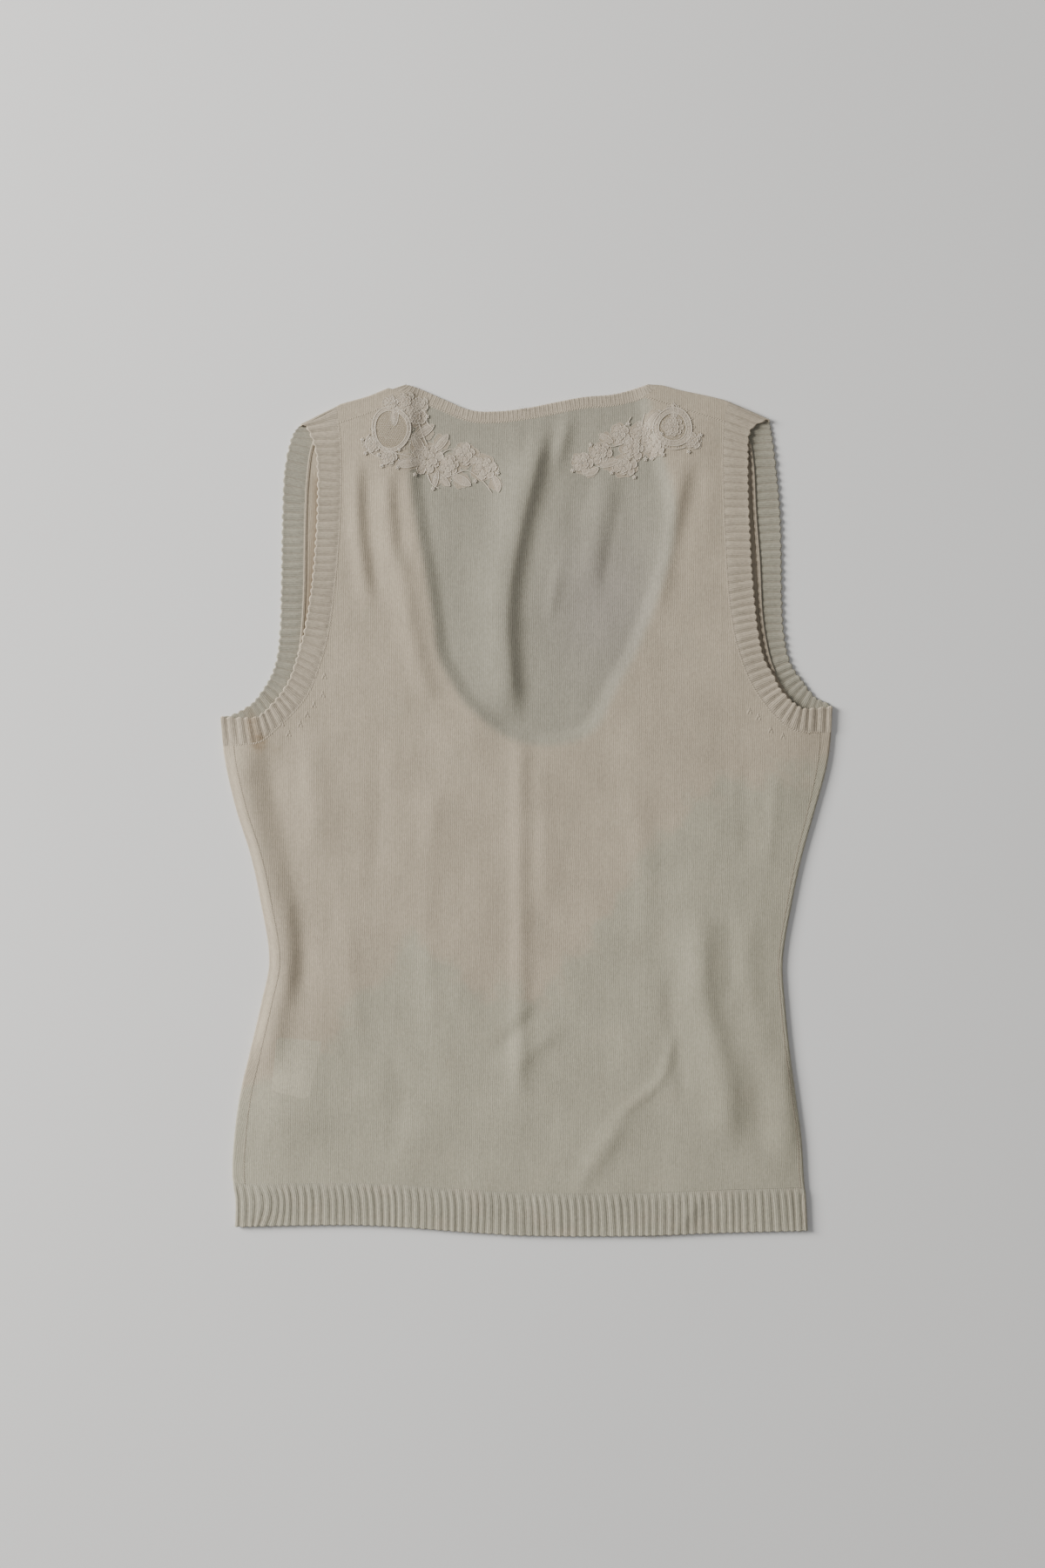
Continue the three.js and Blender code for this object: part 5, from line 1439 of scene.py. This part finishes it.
    def flower(self, x, y, reach, petals, seed):
        """Flower on a bit of net, with two layers of petals, veins and a knotted middle."""
        rng = np.random.default_rng(seed)
        self.patch(x, y, reach * 1.12, rng)
        angles, lengths = self.ruffle(x, y, reach, petals, rng, 0.0)
        for angle, length in zip(angles, lengths):
            out = np.array([math.cos(angle), math.sin(angle)])
            path = np.array([x, y]) + out[None] * np.linspace(0.5 * reach, reach * length * 0.85, 4)[:, None]
            self.cord(path, 0.13, np.array([0.8, 0.95, 0.95, 0.75]), sides=4)
        self.ruffle(x, y, reach * 0.6, max(petals - 2, 4), rng, 0.45)
        for k in range(5):
            angle = 2 * np.pi * k / 5 + angles[0]
            place = 0.14 * reach
            knot = 0.07 * reach**0.5 + 0.2
            self.bead(x + place * math.cos(angle), y + place * math.sin(angle), knot, 1.0, CORD)
        self.bead(x, y, 0.4, 1.1)

    def patch(self, x, y, reach, rng):
        """Ragged bit of the net that the motifs are worked on."""
        points = 42
        turn = turns(points)
        start = rng.random(3) * 6
        rim = reach * (1 + 0.09 * np.sin(3 * turn + start[0]) + 0.06 * np.sin(7 * turn + start[1]))
        ring = np.linspace(0.06, 1, 6)
        radius = rim[:, None] * ring[None]
        level = 0.1 + 0.12 * rng.random()
        plan = around(x, y, radius, turn[:, None])
        self.sheet(stacked(plan, level), 0.15, True, np.full((points, 6), 0.5))
        self.cord(around(x, y, rim, turn), 0.13, level + 0.05, closed=True, sides=4)

    def bud(self, x, y):
        """Small round bud of raised stitches."""
        for k in range(5):
            angle = 2 * np.pi * k / 5 + x
            self.bead(x + 0.95 * math.cos(angle), y + 0.95 * math.sin(angle), 0.62, 0.5, CORD)
        self.bead(x, y, 0.45, 0.95)

    def leaf(self, x, y, reach, degrees, seed):
        """Pointed leaf with a cord round it and a middle vein."""
        rng = np.random.default_rng(seed)
        self.patch(x, y, reach * 0.75, rng)
        lengthwise = np.linspace(-1, 1, 15)
        sidewise = np.linspace(-1, 1, 7)
        half = 0.36 * reach * np.clip(1 - lengthwise**2, 0, 1) ** 0.75 + 0.12
        bend = 0.16 * reach * (rng.random() - 0.5) * 2
        spine = bend * (1 - lengthwise**2)
        long = np.broadcast_to((reach * lengthwise)[:, None], (15, 7))
        wide = half[:, None] * sidewise[None] + spine[:, None]
        height = 0.3 + 0.55 * (1 - sidewise[None] ** 2) * (1 - lengthwise[:, None] ** 4)
        height = height - 0.3 * bell(sidewise[None], 0.2) * (1 - lengthwise[:, None] ** 4)
        height = height + 0.07 * np.cos(lengthwise * 19)[:, None] * (1 - sidewise[None] ** 2)
        turn = math.radians(degrees)
        plan_x = x + long * math.cos(turn) - wide * math.sin(turn)
        plan_y = y + long * math.sin(turn) + wide * math.cos(turn)
        # Painted shade along the middle vein
        hollow = np.broadcast_to(0.35 * bell(sidewise[None], 0.3), (15, 7))
        self.sheet(np.stack([plan_x, plan_y, height], -1), 0.25, False, hollow)
        plan = np.stack([plan_x, plan_y], -1)
        rim = np.vstack([plan[:, 0], plan[::-1, -1][1:-1]])
        self.cord(rim, 0.25, 0.5, closed=True, sides=5)
        self.cord(plan[1:-1, 3], 0.16, 0.72, sides=4)

    def ring(self, x, y, reach, width, drop, seed):
        """Round stem of two cords with stitches between, little loops outside, and net within."""
        points = 56
        turn = turns(points)
        wobble = 1 + 0.03 * np.sin(3 * turn + seed)

        def loop(radius):
            size = radius * wobble
            return np.stack([x + size * np.cos(turn), y + size * drop * np.sin(turn)], 1)

        share = np.linspace(0, 1, 5)
        lines = np.stack([loop(reach - width * (1 - s)) for s in share], 1)
        height = np.broadcast_to((0.25 + 0.4 * np.sin(np.pi * share))[None], (points, 5))
        self.sheet(np.concatenate([lines, height[..., None]], -1), 0.22, True, np.full((points, 5), 0.15))
        self.cord(loop(reach - 0.2), 0.36, 0.62, closed=True)
        self.cord(loop(reach - width + 0.3), 0.32, 0.55, closed=True)
        for k in range(0, points, 2):
            start, end = loop(reach - width + 0.4)[k], loop(reach - 0.4)[(k + 1) % points]
            self.cord(np.stack([start, (start + end) / 2, end]), 0.13, 0.74, sides=4)
        for k in range(0, points, 4):
            self.cord(around(*loop(reach + 0.9)[k], 0.85, turns(7)), 0.17, 0.4, closed=True, sides=4)
        ground = np.linspace(0.05, 1, 7)
        rim = loop(reach - width + 0.4)
        within = np.array([x, y]) + (rim - [x, y])[:, None] * ground[None, :, None]
        self.sheet(stacked(within, 0.26), 0.2, True, np.full((points, 7), 1.0))
        self.net(rim, 1.25)

    def net(self, outline, pitch):
        """Diagonal net within an outline."""
        low, high = outline.min(0), outline.max(0)
        centre, span = (low + high) / 2, np.hypot(*(high - low))
        count = int(span / 2 / pitch)
        for lean in (60, -60, 0):
            along = np.array([math.cos(math.radians(lean)), math.sin(math.radians(lean))])
            beside = np.array([-along[1], along[0]])
            for k in range(-count, count + 1):
                line = centre + beside * k * pitch + along * np.linspace(-span / 2, span / 2, 40)[:, None]
                kept = line[inside(outline, line)]
                if len(kept) > 3:
                    picked = kept[np.linspace(0, len(kept) - 1, max(2, len(kept) // 4)).astype(int)]
                    self.cord(picked, 0.075, 0.28, sides=3)

    def laid_on(self, heights):
        """Corners in place on the cloth."""
        verts = np.vstack(self.verts)
        verts[:, 2] *= LACE_FLATNESS
        verts[:, 2] += heights(np.vstack(self.anchors)) + LACE_LIFT
        return verts


def cloth_heights():
    """Height of the uppermost cloth under any plan points."""
    trees = []
    for name in ("back_panel", "front_panel", "neckband", "armband_left", "armband_right"):
        mesh = bpy.data.objects[f"{name}_knit"].data
        trees.append(BVHTree.FromPolygons([v.co for v in mesh.vertices], [p.vertices for p in mesh.polygons]))

    def heights(points):
        found = []
        for x, y in points:
            hits = [tree.ray_cast(Vector((x * MM, y * MM, 0.05)), Vector((0, 0, -1)))[0] for tree in trees]
            levels = [hit.z / MM for hit in hits if hit is not None]
            found.append(max(levels) if levels else KNIT)
        return np.array(found)

    return heights


def spray(ring, seed, motifs, stems, buds):
    """One lace spray: its round stem, then its flowers and leaves, its stems and its buds."""
    work = Lacework()
    work.ring(*ring)
    makers = {"flower": work.flower, "leaf": work.leaf}
    for k, (kind, x, y, reach, turn) in enumerate(motifs):
        makers[kind](x, y, reach, turn, seed + k)
    for path in stems:
        work.cord(smooth_line(path, 6), 0.33, 0.55)
    for x, y in buds:
        work.bud(x, y)
    return work


def left_spray():
    stems = (
        [[-97, 243], [-90, 238], [-82, 236], [-74, 234]], [[-76, 265], [-72, 258], [-69, 250], [-66, 243]],
        [[-58, 236], [-51, 240], [-44, 238]], [[-50, 222], [-40, 226], [-30, 220], [-23, 211]],
        [[-66, 224], [-63, 217], [-58, 214]], [[-104, 250], [-107, 244], [-103, 237], [-95, 233]],
        [[-72, 268], [-67, 264], [-66, 258], [-62, 254]],
    )
    buds = (
        (-109, 246), (-107, 237), (-98, 236), (-96, 228.5), (-85.5, 227.5), (-74, 223), (-62, 214),
        (-34, 219), (-19, 224), (-84.5, 239.5), (-101, 252), (-66, 262),
    )
    return spray((-90, 253, 13, 2.6, 1.18, 1), 11, SPRAY_LEFT, stems, buds)


def right_spray():
    stems = (
        [[86, 247], [80, 250], [77, 256], [79, 264]], [[90, 242], [98, 239.5], [106, 241]],
        [[64, 244], [58, 242], [52, 243]], [[60, 232], [50, 229], [40, 226], [35, 227]],
        [[70, 262], [66, 256], [59, 254]],
    )
    buds = (
        (79.5, 233.5), (84, 234), (91, 236), (108, 238), (116, 249), (31, 226), (57, 224.5), (72, 221.5),
        (68, 257), (90, 250), (43, 243),
    )
    return spray((97.5, 254.5, 13, 4, 1, 4), 41, SPRAY_RIGHT, stems, buds)


class KNIT_OT_lace(bpy.types.Operator):
    """Lay a generic lace spray on each side of the back neck"""
    bl_idname = "knit.lace"
    bl_label = "Lace sprays"

    def execute(self, context):
        heights = cloth_heights()
        finishes = [
            finish_of("cream lace cloth", lace_cloth), finish_of("cream lace cord", lace_cord),
            finish_of("small pearl beads", small_pearl),
        ]
        for side, work in (("left", left_spray()), ("right", right_spray())):
            piece = make_piece(
                f"lace_{side}_spray", work.laid_on(heights), work.faces, finishes[0], sharp=60,
                fields={"hollow": np.concatenate(work.hollow)})
            for finish in finishes[1:]:
                piece.data.materials.append(finish)
            piece.data.polygons.foreach_set("material_index", np.array(work.kinds, np.int32))
            settle(piece, "lace", f"lace_{side}")
        return {"FINISHED"}


class KNIT_OT_care_label(bpy.types.Operator):
    """Make the blank care label between the layers"""
    bl_idname = "knit.care_label"
    bl_label = "Care label"

    def execute(self, context):
        a, b, c, d = LABEL_CORNERS
        share = np.linspace(0, 1, 15)[:, None, None]
        plan = across(a, b, 10)[None] * (1 - share) + across(d, c, 10)[None] * share
        wave = 0.12 * np.sin(plan[..., 1] / 5) + 0.08 * np.sin(plan[..., 0] / 4)
        outer, inner = stacked(plan, LABEL_FLOOR + 0.5 + wave), stacked(plan, LABEL_FLOOR + 0.15 + wave)
        verts, faces, flat = shell(outer, inner, plan[..., 0], plan[..., 1])
        finish = finish_of("plain woven label", woven_label)
        settle(make_piece("care_label_tape", verts, faces, finish, flat), "label", "care_label")
        return {"FINISHED"}


def grown(name, lines, tree, values):
    """Plain mesh grown by a node tree along plan lines with heights, in millimetres."""
    mesh = bpy.data.meshes.new(f"{name}_lines")
    verts, edges = [], []
    for line in lines:
        start = len(verts)
        verts += (np.asarray(line, float) * MM).tolist()
        edges += [[start + k, start + k + 1] for k in range(len(line) - 1)]
    mesh.from_pydata(verts, edges, [])
    holder = bpy.data.objects.new(f"{name}_holder", mesh)
    bpy.context.scene.collection.objects.link(holder)
    modifier = holder.modifiers.new("grown", "NODES")
    modifier.node_group = tree
    for item in tree.interface.items_tree:
        if item.item_type == "SOCKET" and item.in_out == "INPUT" and item.name in values:
            modifier[item.identifier] = values[item.name]
    bpy.context.view_layer.update()
    evaluated = holder.evaluated_get(bpy.context.evaluated_depsgraph_get())
    made = bpy.data.meshes.new_from_object(evaluated)
    made.name = name
    holder.modifiers.remove(modifier)
    bpy.data.objects.remove(holder)
    piece = bpy.data.objects.new(name, made)
    bpy.context.scene.collection.objects.link(piece)
    if not len(made.polygons):
        raise RuntimeError(f"{name} came out empty")
    made.shade_smooth()
    return piece


class Grower(NodeWork):
    """A geometry node tree under way."""

    def __init__(self, name, inputs):
        self.tree = bpy.data.node_groups.new(name, "GeometryNodeTree")
        face = self.tree.interface
        face.new_socket("Geometry", in_out="INPUT", socket_type="NodeSocketGeometry")
        face.new_socket("Geometry", in_out="OUTPUT", socket_type="NodeSocketGeometry")
        for key, (kind, default) in inputs.items():
            socket = face.new_socket(key, in_out="INPUT", socket_type=kind)
            socket.default_value = default
        self.start = self.tree.nodes.new("NodeGroupInput")
        self.end = self.tree.nodes.new("NodeGroupOutput")

    def given(self, name):
        return self.start.outputs[name]

    def points_along(self):
        line = self.out("GeometryNodeMeshToCurve", {"Mesh": self.given("Geometry")})
        values = {"Curve": line, "Length": self.given("Spacing")}
        return self.put("GeometryNodeCurveToPoints", values, mode="LENGTH")

    def finish(self, instances, finish):
        real = self.out("GeometryNodeRealizeInstances", {0: instances})
        coated = self.out("GeometryNodeSetMaterial", {"Geometry": real, "Material": finish})
        self.tree.links.new(coated, self.end.inputs[0])
        return self.tree


def stitch_tree(name, finish):
    """Slanting stitches along lines."""
    work = Grower(name, {
        "Spacing": ("NodeSocketFloat", 0.0017), "Length": ("NodeSocketFloat", 0.0019),
        "Width": ("NodeSocketFloat", 0.0008), "Height": ("NodeSocketFloat", 0.0005),
        "Slant": ("NodeSocketFloat", 0.5),
    })
    points = work.points_along()
    bead = work.out("GeometryNodeMeshIcoSphere", {"Radius": 0.5, "Subdivisions": 2})
    size = work.place(work.given("Length"), work.given("Width"), work.given("Height"))
    shape = work.out("GeometryNodeTransform", {"Geometry": bead, "Scale": size})
    aim = work.out("FunctionNodeAlignRotationToVector", {"Vector": points.outputs["Tangent"]}, axis="X")
    lean = work.out("FunctionNodeEulerToRotation", {0: work.place(z=work.given("Slant"))})
    turned_aim = work.out(
        "FunctionNodeRotateRotation", {"Rotation": aim, "Rotate By": lean}, rotation_space="LOCAL")
    instances = work.out("GeometryNodeInstanceOnPoints", {
        "Points": points.outputs["Points"], "Instance": shape, "Rotation": turned_aim})
    return work.finish(instances, finish)


def fibre_tree(name, finish):
    """Loose curved fibres scattered along lines."""
    work = Grower(name, {
        "Spacing": ("NodeSocketFloat", 0.002), "Length": ("NodeSocketFloat", 0.0025),
        "Thickness": ("NodeSocketFloat", 0.00005), "Lift": ("NodeSocketFloat", 0.35),
        "Seed": ("NodeSocketInt", 7),
    })
    points, length, seed = work.points_along(), work.given("Length"), work.given("Seed")
    arc = work.out("GeometryNodeCurveQuadraticBezier", {
        "Resolution": 4, "Start": (0, 0, 0), "Middle": (0.55, 0.3, 0), "End": (1, 0.05, 0)})
    section = work.out(
        "GeometryNodeCurvePrimitiveCircle", {"Resolution": 3, "Radius": work.given("Thickness")})
    sized = work.out("GeometryNodeTransform", {"Geometry": arc, "Scale": work.place(length, length, length)})
    fibre = work.out("GeometryNodeCurveToMesh", {"Curve": sized, "Profile Curve": section})
    angle = work.out(
        "FunctionNodeRandomValue", {0: (-1, 0, -3.15), 1: (1, 0, 3.15), "Seed": seed},
        data_type="FLOAT_VECTOR")
    tilt = work.out(
        "ShaderNodeVectorMath", {0: angle, 1: work.place(1.0, work.given("Lift"), 1.0)},
        operation="MULTIPLY")
    size = work.put("FunctionNodeRandomValue", {2: 0.35, 3: 1.0, "Seed": seed}, data_type="FLOAT").outputs[1]
    turn = work.out("FunctionNodeEulerToRotation", {0: tilt})
    instances = work.out("GeometryNodeInstanceOnPoints", {
        "Points": points.outputs["Points"], "Instance": fibre, "Rotation": turn, "Scale": size})
    return work.finish(instances, finish)


def stitch_size(spacing, length, width, height, slant):
    """Inputs of the stitches' tree: sizes in metres and a slant in radians."""
    return {"Spacing": spacing, "Length": length, "Width": width, "Height": height, "Slant": slant}


def on_cloth(points, lift):
    """Plan points with heights just over the back layer."""
    points = np.asarray(points, float)
    return stacked(points, TOP + relief(points) + lift)


class KNIT_OT_seam_stitches(bpy.types.Operator):
    """Sew the linked seams and the shaping marks beside the armholes"""
    bl_idname = "knit.seam_stitches"
    bl_label = "Seam stitches"

    def execute(self, context):
        tree = stitch_tree("linked seam", finish_of("ivory seam yarn", seam_yarn))
        left = side_rows(1, 1, CORNER_LEFT, 60)[1] + [SEAM_GAP / 2, 0]
        right = side_rows(2, -1, CORNER_RIGHT, 60)[1] - [SEAM_GAP / 2, 0]
        lines = [on_cloth(line, -0.12) for line in (
            seam_of(BAND_BACK_LEFT, "side seam", "shoulder seam", 6),
            seam_of(BAND_BACK_RIGHT, "side seam", "shoulder seam", 6),
            seam_of(NECK_BACK, "left seam", "right seam", 6) - [0, 0.5],
            across(SHOULDER_LEFT, NECK_POINT_LEFT, 20), across(NECK_POINT_RIGHT, SHOULDER_RIGHT, 20),
        )]
        size = stitch_size(sizes().stitch, 0.0023, 0.0011, 0.0006, 0.6)
        settle(grown("seam_stitches", lines, tree, size), "knit")
        ridges = []
        for table, low, high, lift, aside in (
            (BAND_FRONT_LEFT, 104, 247, 0.2, [0.7, 0]), (BAND_FRONT_RIGHT, 92, 246, 0.7, [-1, 0]),
        ):
            seam = seam_of(table, "turn", "shoulder fold", 6)
            seam = seam[(seam[:, 1] > low) & (seam[:, 1] < high)]
            ridges += [stacked(seam, KNIT + lift), stacked(seam + aside, KNIT + lift - 0.15)]
        size = stitch_size(0.0013, 0.0021, 0.0013, 0.0009, 0.35)
        settle(grown("armhole_seam_ridge", ridges, tree, size), "knit")
        # The side seams' stitches take the darker yarn as painted shade in the seam
        shaded_tree = stitch_tree("sunken seam", finish_of("shaded seam yarn", shaded_seam_yarn))
        sides = [on_cloth(left, -0.1), on_cloth(right, -0.1)]
        size = stitch_size(0.0016, 0.002, 0.0009, 0.0005, 0.5)
        settle(grown("side_seam_stitches", sides, shaded_tree, size), "knit")
        dots = []
        for marks in (MARKS_LEFT, MARKS_RIGHT):
            for x, y in marks:
                dots.append(on_cloth([[x - 0.7, y - 1.3], [x + 0.3, y + 1.2]], -0.02))
                dots.append(on_cloth([[x + 1.4, y - 1.4], [x + 0.6, y + 0.6]], -0.02))
        settle(grown("shaping_marks", dots, tree, stitch_size(0.0013, 0.0024, 0.0014, 0.00042, 0.1)), "knit")
        return {"FINISHED"}


class KNIT_OT_loose_fibres(bpy.types.Operator):
    """Add sparse loose fibres along the edges and a thread end at the neck"""
    bl_idname = "knit.loose_fibres"
    bl_label = "Loose fibres"

    def execute(self, context):
        tree = fibre_tree("edge fuzz", finish_of("ivory seam yarn", seam_yarn))
        y = np.linspace(-276, 42, 90)
        x = np.linspace(-192, 184, 110)
        lines = [
            stacked(np.stack([between(SIDES, 1, y) + 0.3, y], 1), FOLD_OUTER),
            stacked(np.stack([between(SIDES, 2, y) - 0.3, y], 1), FOLD_OUTER),
            stacked(np.stack([x, between(HEM, 1, x) + 0.3], 1), TOP - 0.7),
            stacked(NECK_BACK["rows"][:, 2:] - [0, 0.4], TOP - 0.6),
        ]
        for table, height in (
            (BAND_BACK_LEFT, TOP), (BAND_BACK_RIGHT, TOP), (BAND_FRONT_LEFT, KNIT), (BAND_FRONT_RIGHT, KNIT),
        ):
            lines.append(stacked(smooth_line(table["rows"][1:-1, 2:], 4), height - 0.4))
        piece = grown("edge_fuzz", lines, tree, {
            "Spacing": 0.0016, "Length": sizes().fibre, "Thickness": 0.00005, "Lift": 0.3,
            "Seed": sizes().seed})
        settle(piece, "knit")
        x = np.linspace(78, 101, 8)
        lint = np.stack([x, between(HEM, 1, x) - 0.2], 1)
        hairs = grown("hem_lint", [stacked(lint, 1.6), on_cloth([[-4.5, 266.8], [-0.6, 267.4]], 0.4)], tree, {
            "Spacing": 0.0003, "Length": 0.0026, "Thickness": 0.00006, "Lift": 0.6, "Seed": sizes().seed + 3})
        settle(hairs, "knit")
        return {"FINISHED"}


class KNIT_OT_stage(bpy.types.Operator):
    """Set the pale floor, the soft lights and the camera straight above"""
    bl_idname = "knit.stage"
    bl_label = "Stage"

    def execute(self, context):
        scene, setting = context.scene, context.scene.knitted_top_stage
        ways = [[-1, -1, 0], [1, -1, 0], [1, 1, 0], [-1, 1, 0]]
        verts = np.array(ways) * GROUND_REACH + [0, 0, GROUND_LEVEL]
        floor = make_piece("floor", verts, [[0, 1, 2, 3]], finish_of("pale ground", paper_ground))
        camera = bpy.data.objects.new("camera", bpy.data.cameras.new("camera"))
        camera.location = (*CAMERA_SPOT, setting.height + TOP * MM)
        camera.data.sensor_width = SENSOR
        camera.data.lens = SENSOR * setting.height / setting.view_length
        camera.data.clip_end = 20
        scene.collection.objects.link(camera)
        scene.camera = camera
        for name, power, place, width, tone in (
            ("key", setting.key, (-2.55, 0.85, 1.36), 1.36, (1, 0.985, 0.955)),
            ("fill", setting.fill, (0.5, 0.3, 2.2), 2.2, (1, 1, 1)),
        ):
            lamp = bpy.data.lights.new(name, "AREA")
            lamp.energy, lamp.size, lamp.color = power, width, tone
            light = bpy.data.objects.new(name, lamp)
            light.location = place
            light.rotation_euler = (-Vector(place)).to_track_quat("-Z", "Y").to_euler()
            scene.collection.objects.link(light)
        world = bpy.data.worlds.new("room")
        world.use_nodes = True
        world.node_tree.nodes["Background"].inputs["Color"].default_value = (0.98, 0.985, 1, 1)
        world.node_tree.nodes["Background"].inputs["Strength"].default_value = setting.sky
        scene.world = world
        return {"FINISHED"}


class KNIT_OT_cloth_sizes(bpy.types.Operator):
    """Does nothing; it states no sizes."""
    bl_idname = "knit.cloth_sizes"
    bl_label = "Cloth sizes"

    def execute(self, context):
        return {"FINISHED"}


class KNIT_PT_panel(bpy.types.Panel):
    """Sizes, colours and steps of the knitted top"""
    bl_idname = "KNIT_PT_panel"
    bl_label = "Knitted Top"
    bl_space_type = "VIEW_3D"
    bl_region_type = "UI"
    bl_category = "Knitted Top"

    def draw(self, context):
        for group in (getattr(context.scene, name) for name in GROUPS):
            box = self.layout.box()
            for key in group.__annotations__:
                box.prop(group, key)
        for operator in OPERATORS:
            self.layout.operator(operator.bl_idname)


GROUPS = {
    "knitted_top_sizes": KnitSizes, "knitted_top_colours": KnitColours, "knitted_top_stage": StageSettings,
}
OPERATORS = (
    KNIT_OT_back_panel, KNIT_OT_front_panel, KNIT_OT_hem_rib, KNIT_OT_armhole_bands, KNIT_OT_neckband,
    KNIT_OT_lace, KNIT_OT_care_label, KNIT_OT_seam_stitches, KNIT_OT_loose_fibres, KNIT_OT_stage,
    KNIT_OT_cloth_sizes,
)


def register():
    for kind in (*GROUPS.values(), *OPERATORS, KNIT_PT_panel):
        bpy.utils.register_class(kind)
    for name, group in GROUPS.items():
        setattr(bpy.types.Scene, name, PointerProperty(type=group))


def unregister():
    for name in GROUPS:
        delattr(bpy.types.Scene, name)
    for kind in (KNIT_PT_panel, *reversed(OPERATORS), *reversed(GROUPS.values())):
        bpy.utils.unregister_class(kind)


def main():
    register()
    for operator in OPERATORS:
        module, name = operator.bl_idname.split(".")
        if getattr(getattr(bpy.ops, module), name)() != {"FINISHED"}:
            raise RuntimeError(f"{operator.bl_label} wasn't finished")


if __name__ == "__main__":
    main()
